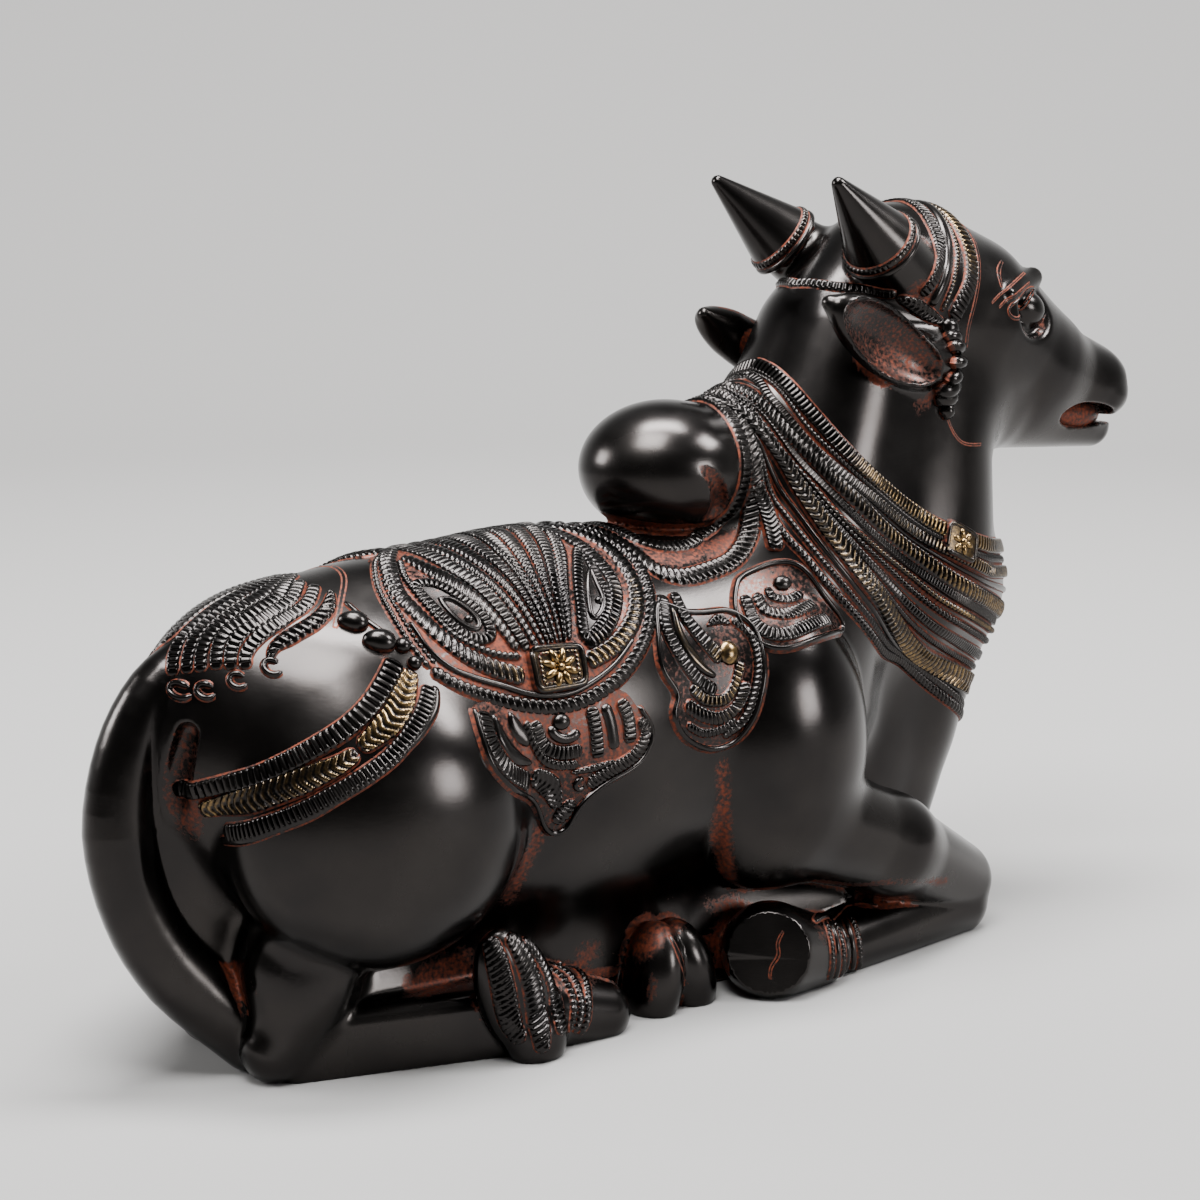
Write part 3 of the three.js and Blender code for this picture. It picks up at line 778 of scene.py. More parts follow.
@dataclass
class Plate:
    """A raised field of cloth or metal within an outline on one of the sheets."""

    view: View
    outline: Line
    height: float
    stain: float = 0.75
    gilt: float = 0.0
    rows: int = 96
    columns: int = 20
    straight: bool = False
    spine: bool = False

    def laid(self, skin: Skin) -> Sheet:
        """The plate as a sheet of points on the skin.

        Args:
            skin: the bull's surface.
        Returns:
            The sheet, its rows round the outline and its columns from the middle outwards.
        """
        edge = np.array(self.outline, float) if self.straight else curve(self.outline, True)
        gaps = np.linalg.norm(np.diff(edge, axis=0, append=edge[:1]), axis=1)
        along = np.concatenate([[0], np.cumsum(gaps)])
        looped = np.vstack([edge, edge[:1]])
        steps = np.linspace(0, along[-1], self.rows)
        edge = np.stack([np.interp(steps, along, looped[:, i]) for i in range(edge.shape[1])], 1)
        middle = edge[:-1].mean(0)
        out = np.concatenate([np.linspace(0, PLATE_TOP, self.columns - 2), [PLATE_LIP, 1.0]])
        flat = middle + out[None, :, None] * (edge - middle)[:, None, :]
        if self.spine:
            flat[..., 1] = np.maximum(flat[..., 1], 0)
        p, _ = cast(skin, self.view, flat.reshape(-1, edge.shape[1]))
        p = skin.settled(p, 1)
        rise = np.full(flat.shape[:2], self.height)
        rise[:, -1] = PLATE_SUNK
        if self.spine:
            rise = np.where(flat[..., 1] <= 0, self.height, rise)
        p = (p + rise.reshape(-1, 1) * skin.normals(p)).reshape(self.rows, -1, 3)
        if self.spine:
            p[..., 1] = np.where(flat[..., 1] <= 0, 0, p[..., 1])
        return Sheet(p, np.full(rise.shape, self.stain), np.full(rise.shape, self.gilt))


@dataclass
class Bead:
    """A cast bead, petal or boss set on the skin.

    turn is how far its length is turned from the way the bull faces, in degrees upwards.
    """

    view: View
    at: tuple[float, ...]
    radii: Point
    lift: float = 0.0
    gilt: float = 0.0
    ribs: int = 0
    turn: float = 0.0

    def laid(self, skin: Skin) -> Sheet:
        """The bead as a sheet of points, its rows round its standing axis.

        Args:
            skin: the bull's surface.
        Returns:
            The sheet, its columns from the pole inside the skin to the one at its top.
        """
        p, _ = cast(skin, self.view, np.array([self.at], float))
        n = skin.normals(p)[0]
        level = np.array([1.0, 0, 0]) - n[0] * n
        level /= np.linalg.norm(level)
        upright = np.cross(n, level)
        turn = math.radians(self.turn)
        along = math.cos(turn) * level + math.sin(turn) * upright
        across = np.cross(n, along)
        turns = np.linspace(0, 2 * math.pi, BEAD_SIDES + 1)
        falls = np.linspace(0, math.pi * BEAD_SHOWN, BEAD_STEPS)
        T, P = np.meshgrid(turns, falls, indexing="ij")
        swell = 1 - (0.1 * notch(T * self.ribs / (2 * math.pi), 0.22) if self.ribs else 0)
        rx, ry, rz = self.radii
        body = (
            (rx * np.sin(P) * np.cos(T) * swell)[..., None] * along
            + (ry * np.sin(P) * np.sin(T) * swell)[..., None] * across
            + (rz * np.cos(P) + self.lift)[..., None] * n
        )
        stain = smooth(*BEAD_STAIN, P)
        return Sheet(p[0] + body[:, ::-1], stain[:, ::-1], self.gilt * (1 - stain[:, ::-1]))


# Finishes


def linear(code: str) -> tuple[float, float, float, float]:
    """A colour given as sRGB hex digits, as linear light."""
    parts = [int(code[i : i + 2], 16) / 255 for i in (1, 3, 5)]
    r, g, b = (c / 12.92 if c <= 0.04045 else ((c + 0.055) / 1.055) ** 2.4 for c in parts)
    return (r, g, b, 1.0)


def add_node(
    tree: bpy.types.NodeTree, kind: str, inputs: Optional[dict] = None, **settings: object,
) -> bpy.types.Node:
    """Adds a node with its settings and links.

    Args:
        tree: the material's node tree.
        kind: the node's type.
        inputs: for each input by name or number, a value or the socket to link to it.
        settings: the node's own settings.
    Returns:
        The new node.
    """
    node = tree.nodes.new(kind)
    for name, value in settings.items():
        setattr(node, name, value)
    for key, value in (inputs or {}).items():
        if isinstance(value, bpy.types.NodeSocket):
            tree.links.new(value, node.inputs[key])
        else:
            node.inputs[key].default_value = value
    return node


@dataclass(frozen=True)
class PatinatedBrass:
    """Cast brass, darkened all over, then polished by hand.

    The eye sees a black-brown metal that mirrors the lights softly, with red-brown oxide left
    in the carved grooves and dull brass showing where raised bands have been rubbed bare.

    needs is how strong the noise has to be before any of the stain or brass shows, and edge
    the strengths between which it comes up.
    """

    name: str
    dark: str = "#201f20"
    light: str = "#383533"
    stain: str = "#652a13"
    stain_deep: str = "#1b0b06"
    brass: str = "#8d744c"
    brass_dull: str = "#4d3c28"
    roughness: float = 0.17
    roughness_range: float = 0.12
    stain_roughness: float = 0.62
    stain_metallic: float = 0.55
    gilt_needs: float = 0.3
    gilt_edge: tuple[float, float] = (0.2, 0.72)
    stain_needs: float = 0.2
    stain_edge: tuple[float, float] = (0.38, 0.82)
    cloud_mm: float = 26.0
    grain_mm: float = 1.0
    scratch_mm: float = 2.8
    bump: float = 0.1
    bump_mm: float = 0.1

    def made(self) -> bpy.types.Material:
        """Builds the material.

        Returns:
            A dark sheen, stained where the mesh says stain and bare brass where it says gilt.
        """
        material = bpy.data.materials.new(self.name)
        material.use_nodes = True
        tree = material.node_tree
        tree.nodes.clear()
        place = add_node(tree, "ShaderNodeTexCoord").outputs["Object"]
        along = add_node(tree, "ShaderNodeMapping", {"Vector": place, "Scale": (1.0, 1.0, 6.0)}).outputs[0]
        noises = []
        for where, size, detail in (
            (place, self.cloud_mm, 4.0), (place, self.grain_mm, 3.0), (along, self.scratch_mm, 5.0),
        ):
            inputs = {"Vector": where, "Scale": 1 / (size * MM), "Detail": detail}
            noises.append(add_node(tree, "ShaderNodeTexNoise", inputs).outputs["Fac"])
        cloud, fine, rubbed = noises
        # A noise breaks up the edges of the stain and of the bare brass
        patchy = add_node(tree, "ShaderNodeMath", {0: fine, 1: cloud}, operation="ADD").outputs[0]
        amounts = []
        wear = (("gilt", self.gilt_needs, self.gilt_edge), ("stain", self.stain_needs, self.stain_edge))
        for attribute, needs, (low, high) in wear:
            strength = add_node(tree, "ShaderNodeAttribute", attribute_name=attribute).outputs["Fac"]
            over = add_node(tree, "ShaderNodeMath", {0: patchy, 1: needs}, operation="SUBTRACT").outputs[0]
            inputs = {0: strength, 1: over}
            share = add_node(tree, "ShaderNodeMath", inputs, operation="MULTIPLY", use_clamp=True).outputs[0]
            edge = {0: share, 1: low, 2: high}
            amounts.append(
                add_node(tree, "ShaderNodeMapRange", edge, interpolation_type="SMOOTHSTEP").outputs[0]
            )
        worn, rusted = amounts
        grains = add_node(tree, "ShaderNodeMapRange", {0: fine, 1: 0.3, 2: 0.65}).outputs[0]
        colours = []
        for share, first, last in (
            (cloud, self.dark, self.light), (fine, self.brass_dull, self.brass),
            (grains, self.stain_deep, self.stain),
        ):
            inputs = {0: share, 6: linear(first), 7: linear(last)}
            colours.append(add_node(tree, "ShaderNodeMix", inputs, data_type="RGBA").outputs[2])
        skin, metal, rust = colours
        clean = add_node(tree, "ShaderNodeMix", {0: worn, 6: skin, 7: metal}, data_type="RGBA").outputs[2]
        colour = add_node(tree, "ShaderNodeMix", {0: rusted, 6: clean, 7: rust}, data_type="RGBA").outputs[2]
        low, high = self.roughness, self.roughness + self.roughness_range
        sheen = add_node(tree, "ShaderNodeMapRange", {0: cloud, 1: 0.3, 2: 0.7, 3: low, 4: high}).outputs[0]
        rough = add_node(tree, "ShaderNodeMix", {0: rusted, 2: sheen, 3: self.stain_roughness}).outputs[0]
        metallic = add_node(
            tree, "ShaderNodeMapRange", {0: rusted, 3: 1.0, 4: self.stain_metallic},
        ).outputs[0]
        height = add_node(tree, "ShaderNodeMath", {0: rubbed, 1: fine}, operation="ADD").outputs[0]
        inputs = {"Height": height, "Strength": self.bump, "Distance": self.bump_mm * MM}
        bump = add_node(tree, "ShaderNodeBump", inputs).outputs[0]
        inputs = {"Base Color": colour, "Metallic": metallic, "Roughness": rough, "Normal": bump}
        shader = add_node(tree, "ShaderNodeBsdfPrincipled", inputs)
        add_node(tree, "ShaderNodeOutputMaterial", {"Surface": shader.outputs[0]})
        return material


# Pieces


def deselect() -> None:
    """Leaves nothing selected."""
    for thing in bpy.context.selected_objects:
        thing.select_set(False)


def take(thing: bpy.types.Object) -> None:
    """Selects one object alone and makes it active."""
    deselect()
    thing.select_set(True)
    bpy.context.view_layer.objects.active = thing


def frame_metres(p: Array) -> Array:
    """Points of the modelling frame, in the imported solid's metres."""
    return (p - CENTRE) * MM


def set_values(mesh: bpy.types.Mesh, name: str, values: Array) -> None:
    """Stores one number for each vertex under a name that the material reads."""
    layer = mesh.attributes.get(name) or mesh.attributes.new(name, "FLOAT", "POINT")
    layer.data.foreach_set("value", np.ascontiguousarray(values, np.float32).ravel())


def sheet_object(sheet: Sheet) -> bpy.types.Object:
    """A sheet as an object: a grid, its corners brought to the sheet's points.

    Args:
        sheet: the points with their stain and gilt.
    Returns:
        The new object.
    """
    rows, columns = sheet.stain.shape
    deselect()
    bpy.ops.mesh.primitive_grid_add(x_subdivisions=rows - 1, y_subdivisions=columns - 1, size=2)
    piece = bpy.context.active_object
    mesh = piece.data
    flat = np.empty(len(mesh.vertices) * 3, np.float32)
    mesh.vertices.foreach_get("co", flat)
    flat = flat.reshape(-1, 3)
    i = np.rint((flat[:, 0] + 1) / 2 * (rows - 1)).astype(int)
    j = np.rint((flat[:, 1] + 1) / 2 * (columns - 1)).astype(int)
    mesh.vertices.foreach_set("co", frame_metres(sheet.points[i, j]).astype(np.float32).ravel())
    set_values(mesh, "stain", sheet.stain[i, j])
    set_values(mesh, "gilt", sheet.gilt[i, j])
    return piece


# Points of a piece nearer than this are one, on the middle line and elsewhere, and an edge sharper
# than this many degrees stays sharp
MIDDLE_MERGE = 0.05
MERGE = 0.02
CREASE = 60


def joined(parts: list[bpy.types.Object], name: str, mirrored: bool) -> bpy.types.Object:
    """Several objects as one piece, with its doubles merged.

    Args:
        parts: the objects.
        name: the piece's name.
        mirrored: whether the left flank repeats the right one.
    Returns:
        The piece.
    """
    deselect()
    for part in parts:
        part.select_set(True)
    bpy.context.view_layer.objects.active = parts[0]
    if len(parts) > 1:
        bpy.ops.object.join()
    piece = bpy.context.active_object
    piece.name = piece.data.name = name
    if mirrored:
        bpy.ops.object.modifier_add(type="MIRROR")
        mirror = piece.modifiers[-1]
        mirror.use_axis = (False, True, False)
        mirror.use_mirror_merge = True
        mirror.merge_threshold = MIDDLE_MERGE * MM
        bpy.ops.object.modifier_apply(modifier=mirror.name)
    bpy.ops.object.mode_set(mode="EDIT")
    bpy.ops.mesh.select_all(action="SELECT")
    bpy.ops.mesh.remove_doubles(threshold=MERGE * MM)
    bpy.ops.mesh.bisect(plane_co=(0, 0, 0), plane_no=(0, 0, 1), clear_inner=True)
    bpy.ops.object.mode_set(mode="OBJECT")
    bpy.ops.object.shade_smooth_by_angle(angle=math.radians(CREASE))
    return piece


@dataclass
class Dresser:
    """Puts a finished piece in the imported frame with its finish."""

    metal: bpy.types.Material

    def dress(self, piece: bpy.types.Object) -> None:
        """Gives a piece its metal and its body."""
        piece.data.materials.clear()
        piece.data.materials.append(self.metal)
        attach(piece, "root")
        piece.data.calc_loop_triangles()
        log.info("%s: %d triangles", piece.name, len(piece.data.loop_triangles))


@dataclass
class Hide:
    """The bull's smooth skin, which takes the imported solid's place.

    rust holds the soft patches of oxide, each a line, how far it spreads and how strong it is.
    polished is a spot that stays clean, and its reach.  The edges say between which shares of
    its depth or reach a stain comes up.  Vertices lower than foot face straight down.
    """

    skin: Skin
    voxel: float = 0.95
    quick_voxel: float = 2.5
    kept: float = 0.44
    smoothings: int = 4
    foot: float = 0.05
    hollow_edge: tuple[float, float] = (0.4, 0.85)
    rust_edge: tuple[float, float] = (0.2, 1.5)
    polished_edge: tuple[float, float] = (0.7, 1.1)
    cut_near: float = 0.3
    hollow_reach: float = 3.4
    cut_reach: float = 1.2
    cut_stain: float = 0.66
    polished: tuple[Point, float] = ((139, -24, 187), 11)
    rust: tuple[tuple[Line, float, float], ...] = (
        (
            (
                (-46, -43.5, 68), (-48.4, -42.8, 61.9), (-51, -39.6, 52.4), (-52.6, -34, 38),
                (-45, -36, 28), (-38, -36, 16),
            ),
            4.5, 0.85,
        ),
        (
            (
                (10, -42, 70), (12, -41, 60), (13.6, -38.7, 48), (17.6, -35.6, 38.9), (22, -31, 29),
                (26, -28, 20),
            ),
            4.5, 0.85,
        ),
        (
            (
                (-75, -26, 18.6), (-62.8, -26, 22.3), (-45, -38, 22), (-36, -38, 14), (-24, -30, 18),
                (-12, -33, 20), (10, -30, 28), (30, -28, 22),
            ),
            7, 0.9,
        ),
        (((46, -40, 30), (60, -40, 27), (77, -44, 26.9), (95, -40.5, 22)), 3, 0.7),
        (((42, -44, 16), (50, -42, 12), (62, -36, 8)), 6, 0.75),
        (
            (
                (-118, -12, 112), (-126, -13, 96), (-131, -14, 80), (-137, -14, 60), (-132, -18, 35),
                (-125, -22, 24),
            ),
            7, 0.72,
        ),
        (((84, -20, 204), (90, -24, 198), (94, -27, 192)), 6, 0.8),
        (((92, -27, 160), (98, -27, 163), (103, -27, 172)), 4, 0.8),
        (tuple(HUMP_HOOK[0]), 1.8, 0.9),
        (((172, -8, 153), (184, -4, 152)), 5, 1.0),
        (((44, -16, 128), (28, -20, 125), (8, -22, 124), (-8, -16, 128)), 5, 0.8),
        (((22, -38, 104), (40, -40, 92), (60, -36, 84)), 4, 0.6),
        (((-74, -42, 90), (-62, -44, 72), (-50, -44, 62)), 3, 0.6),
        (((-88, -32, 112), (-100, -36, 96), (-122, -30, 80)), 4, 0.6),
    )

    def settled(self, p: Array, times: int) -> Array:
        """Points brought to the skin, or to the ground plane where the bull is cut off flat.

        Args:
            p: the points.
            times: how many steps they take there.
        Returns:
            Where they come to.
        """
        for _ in range(times):
            d = self.skin.distance(p)
            n = self.skin.normals(p)
            under = -p[:, 2] > d
            n[under] = (0, 0, -1)
            p = p - np.maximum(d, -p[:, 2])[:, None] * n
        p[:, 2] = np.maximum(p[:, 2], 0)
        return p

    def made(self) -> bpy.types.Object:
        """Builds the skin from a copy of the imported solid's mesh.

        Returns:
            The piece, with its stain and its own normals.
        """
        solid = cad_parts["nandi_bull"]
        piece = bpy.data.objects.new("bull_hide", solid.data.copy())
        bpy.context.scene.collection.objects.link(piece)
        take(piece)
        bpy.ops.object.mode_set(mode="EDIT")
        bpy.ops.mesh.select_all(action="SELECT")
        bpy.ops.mesh.remove_doubles(threshold=0.001 * MM)
        bpy.ops.object.mode_set(mode="OBJECT")
        piece.data.remesh_voxel_size = self.voxel * MM * 1
        bpy.ops.object.voxel_remesh()
        self.place(piece, 3)
        bpy.ops.object.modifier_add(type="SMOOTH")
        piece.modifiers[-1].iterations = self.smoothings
        bpy.ops.object.modifier_apply(modifier=piece.modifiers[-1].name)
        self.place(piece, 2)
        bpy.ops.object.modifier_add(type="DECIMATE")
        piece.modifiers[-1].ratio = self.kept
        bpy.ops.object.modifier_apply(modifier=piece.modifiers[-1].name)
        p = self.place(piece, 1)
        self.stain(piece, p)
        bpy.ops.object.shade_smooth()
        normal = self.skin.normals(p)
        normal[p[:, 2] < self.foot] = (0, 0, -1)
        piece.data.normals_split_custom_set_from_vertices(normal.tolist())
        return piece

    def place(self, piece: bpy.types.Object, times: int) -> Array:
        """Settles the piece's vertices.

        Args:
            piece: the piece.
            times: how many steps its vertices take to the skin.
        Returns:
            Where they are in the modelling frame.
        """
        co = np.empty(len(piece.data.vertices) * 3, np.float32)
        piece.data.vertices.foreach_get("co", co)
        p = self.settled(co.reshape(-1, 3).astype(float) / MM + CENTRE, times)
        piece.data.vertices.foreach_set("co", frame_metres(p).astype(np.float32).ravel())
        piece.data.update()
        return p

    def stain(self, piece: bpy.types.Object, p: Array) -> None:
        """Stains the skin in its hollows, on its cut faces and in soft patches of rust.

        Args:
            piece: the piece.
            p: where its vertices are in the modelling frame.
        """
        out = self.skin.distance(p + self.skin.normals(p) * self.hollow_reach)
        stain = smooth(*self.hollow_edge, 1 - out / self.hollow_reach)
        folded = p * (1, 0, 1) - np.abs(p) * (0, 1, 0)
        for form, _, hold in self.skin.masses:
            if hold in (Hold.CUT, Hold.CUT_PAIR):
                near = 1 - smooth(self.cut_near, self.cut_reach, form.distance(folded))
                stain = np.maximum(stain, self.cut_stain * near)
        full, none = self.rust_edge
        for line, reach, strength in self.rust:
            gap = np.full(len(p), np.inf)
            for spot in curve(line, count=8):
                gap = np.minimum(gap, np.linalg.norm(folded - spot, axis=1))
            stain = np.maximum(stain, strength * (1 - smooth(full * reach, none * reach, gap)))
        spot, reach = self.polished
        clean, full = self.polished_edge
        stain *= smooth(clean * reach, full * reach, np.linalg.norm(folded - spot, axis=1))
        set_values(piece.data, "stain", stain)
        set_values(piece.data, "gilt", np.zeros(len(p)))


Layable = Union[Band, Plate, Bead]

flank = partial(Band, View.FLANK)
side = partial(Band, View.SIDE)
above = partial(Band, View.TOP)
near_skin = partial(Band, View.SPACE)
THROUGH = {"from_middle": True, "to_middle": True}


def between(first: Line, last: Line, share: float) -> list[tuple[float, ...]]:
    """A line a share of the way from one line to another.

    Args:
        first: the line at share 0.
        last: the line at share 1.
        share: the share of the way.
    Returns:
        Nine points of the line.
    """
    both = []
    for line in (first, last):
        p = curve(line)
        along = np.concatenate([[0], np.cumsum(np.linalg.norm(np.diff(p, axis=0), axis=1))])
        steps = np.linspace(0, along[-1], 9)
        both.append(np.stack([np.interp(steps, along, p[:, i]) for i in range(p.shape[1])], 1))
    return [tuple(p) for p in ((1 - share) * both[0] + share * both[1]).tolist()]


def shrunk(line: Line, middle: Flat, share: float) -> list[Flat]:
    """A line drawn smaller about a middle point, by the share given."""
    u0, v0 = middle
    return [(u0 + (u - u0) * share, v0 + (v - v0) * share) for u, v in line]


def flower(view: View, middle: Flat, petals: int, reach: float, size: Point, lift: float) -> list[Layable]:
    """A round flower of petals about a boss.

    Args:
        view: the sheet that it is placed on.
        middle: its middle there.
        petals: how many petals it has.
        reach: how far the middle of a petal is from the flower's.
        size: a petal's half length, half width and height.
        lift: how high it stands.
    Returns:
        The petals and the boss.
    """
    up = -1 if view is View.FLANK else 1
    turns = [360 * (i + 0.5) / petals for i in range(petals)]
    spots = [
        (middle[0] + reach * math.cos(math.radians(t)), middle[1] + up * reach * math.sin(math.radians(t)))
        for t in turns
    ]
    return [
        *[Bead(view, spot, size, lift, gilt=1.0, turn=t) for spot, t in zip(spots, turns)],
        Bead(view, middle, (1.3, 1.3, size[2] + 0.5), lift, gilt=1.0),
    ]


@dataclass
class SaddleCloth:
    """The round cloth over the back: a corded hem, a feathered border, rays and a clasp."""

    cloth: float = 0.5
    cord_height: float = 1.6
    band_height: float = 1.2
    groove: float = 0.1
    hem: Line = (
        (-70, 0), (-76, 6), (-80.5, 15), (-82, 25), (-81.5, 34), (-78.5, 42), (-71.5, 47), (-62, 50.5),
        (-52.4, 54), (-43, 56), (-33.7, 55), (-23.5, 50.8), (-15, 44.4), (-8.8, 37), (-5.2, 29), (-3.8, 20),
        (-6.5, 11), (-10.5, 4), (-14, 0),
    )
    feather_left: Line = (
        (-67.5, 0), (-71, 4), (-74, 9), (-77, 18), (-75.5, 26), (-72, 33.5), (-66.5, 39), (-59.8, 42.9),
        (-50.9, 46.9),
    )
    feather_right: Line = (
        (-33, 45.9), (-23.4, 43), (-15.3, 37.6), (-10.5, 31), (-8.9, 24.2), (-9.4, 15.6), (-12.5, 8),
        (-17.5, 0),
    )
    cord_line: Line = (
        (-79, 28), (-77.3, 36.6), (-72.8, 42), (-66, 45), (-58, 47.9), (-50, 51.6), (-41, 53), (-33, 51.3),
        (-24, 47.2), (-16, 41.2),
    )
    ladder_right: Line = (
        (-31.7, 41.9), (-23.7, 38.1), (-17.9, 31.8), (-15.9, 26.3), (-16.4, 20.5), (-18.1, 13.3), (-21, 6),
        (-24, 0),
    )
    bead_left: Line = (
        (-69.5, 7), (-72.3, 14.4), (-71.5, 24.2), (-68.4, 32.3), (-62.6, 37), (-56.5, 40), (-50.5, 41.5),
    )
    leaf_left: Line = (
        (-71.2, 17.6), (-69.8, 25.1), (-65.8, 32.5), (-61.3, 35.1), (-57.8, 34.9), (-56.9, 32.6),
        (-58, 28.2), (-61.3, 23.1), (-66, 18),
    )
    leaf_right: Line = (
        (-19.1, 15.1), (-25.2, 23), (-28.8, 30.7), (-30.9, 39.6), (-23.5, 35.7), (-19.8, 29.7), (-19.9, 23.6),
    )
    ray_depths: tuple[float, ...] = (40.5, 25, 12, 0)
    ray_edges: tuple[tuple[float, ...], ...] = (
        (-50, -55, -61.5, -66), (-47, -51, -56, -60), (-44.5, -48, -52, -54.5), (-43, -45, -47.5, -48.5),
        (-41.8, -42.7, -43.3, -42.5), (-40.6, -40.2, -39, -36.5), (-39.5, -37.6, -34.5, -31),
        (-38.4, -35, -30.2, -26), (-37.2, -32.2, -26.2, -21.5),
    )
    clasp_outline: Line = ((-48, 40.4), (-33.7, 41.7), (-34.6, 51.1), (-48.5, 51))

    def cloth_parts(self) -> list[Layable]:
        """The cloth's ground with its hem and borders."""
        beads_in = [(u + 2.1, v - 0.5) for u, v in self.hem[:6]]
        over = {"lift": self.cloth, "height": self.band_height}
        return [
            Plate(View.FLANK, self.hem, self.cloth, spine=True, stain=0.85),
            flank(self.hem[:6], 0.95, Carve.BEADS, pitch=1.7, from_middle=True),
            flank(beads_in, 0.95, Carve.BEADS, pitch=1.7, from_middle=True),
            flank(self.hem[5:], (1.9, 2.2, 2.2, 2.2, 2.0), Carve.ROPE, self.cord_height, 2.2, to_middle=True),
            flank(self.cord_line, (0.5, 0.9, 0.9, 0.6), Carve.PLAIN, lift=self.cloth, stain=0.4),
            flank(
                self.feather_left, 2.6, Carve.SLANT, pitch=2.2, gilt=(0, 0, 0.1, 0.6), from_middle=True,
                **over,
            ),
            flank(
                self.feather_right, 2.6, Carve.SLANT, pitch=2.2, gilt=(0.8, 0.7, 0.5, 0.1, 0), to_middle=True,
                **over,
            ),
            flank(
                self.ladder_right, (1.9, 2.3, 2.5), Carve.LADDER, pitch=1.6, gilt=(0.4, 0.4, 0.2, 0),
                to_middle=True, **over,
            ),
            flank(self.bead_left, 1.2, Carve.BEADS, lift=self.cloth),
        ]

    def ray_parts(self) -> list[Layable]:
        """The fan of bands from the clasp to the spine, and the leaf on each side of it."""
        kinds = (
            Carve.LADDER, Carve.ROPE, Carve.SLANT, Carve.LADDER, Carve.FEATHER, Carve.ROPE, Carve.SLANT,
            Carve.LADDER,
        )
        parts: list[Layable] = [
            flank(
                [(-51.2, 40), (-57, 25), (-64.4, 13), (-67.6, 5)], (1.2, 2.0, 2.9, 1.8), Carve.SLANT, 1.1,
                1.9, lift=self.cloth,
            ),
            flank(
                [(-36.2, 40), (-31.2, 26), (-24.6, 13), (-20.4, 2)], (0.8, 1.6, 2.2, 1.6), Carve.ROPE, 1.1,
                1.6, lift=self.cloth,
            ),
        ]
        for left, right, kind in zip(self.ray_edges, self.ray_edges[1:], kinds):
            line = [((a + b) / 2, depth) for a, b, depth in zip(left, right, self.ray_depths)]
            half = [max((b - a) / 2 - self.groove, 0.45) for a, b in zip(left, right)]
            parts.append(flank(line, half, kind, 1.1, 1.7, lift=self.cloth, to_middle=True))
        return parts + self.leaf(self.leaf_left, (-61.7, 29.5)) + self.leaf(self.leaf_right, (-23, 31))

    def leaf(self, outline: Line, eye: Flat) -> list[Layable]:
        """A smooth leaf with a raised rim, an inner cord and an eye.

        Args:
            outline: its outline on the flank.
            eye: where its eye is.
        Returns:
            The leaf's parts.
        """
        inner = shrunk(outline, eye, 0.55)
        return [
            Plate(View.FLANK, outline, self.cloth + 0.4, rows=48, columns=8, stain=0.5),
            flank(outline, 1.7, Carve.LADDER, 1.1, 1.4, lift=self.cloth, closed=True),
            flank(inner, 0.9, Carve.PLAIN, 0.9, lift=self.cloth + 0.2, closed=True, stain=0.5),
            Bead(View.FLANK, eye, (1.4, 1.2, 1.0), self.cloth + 0.3),
        ]

    def clasp_parts(self) -> list[Layable]:
        """The square clasp: a corded frame round a pale brass flower."""
        middle = (-41.2, 46.2)
        frame_line = self.clasp_outline + self.clasp_outline[:1]
        inner = shrunk(frame_line, middle, 0.74)
        return [
            Plate(
                View.FLANK, self.clasp_outline, 1.7, straight=True, rows=64, columns=8, stain=0.25, gilt=0.5,
            ),
            flank(frame_line, 0.95, Carve.PLAIN, 0.8, lift=1.5, straight=True, gilt=0.4, stain=0.4),
            flank(inner, 0.5, Carve.BEADS, 0.6, 1.2, lift=1.6, straight=True, gilt=0.6),
            *flower(View.FLANK, middle, 8, 3.1, (2.3, 1.15, 1.3), 1.6),
        ]


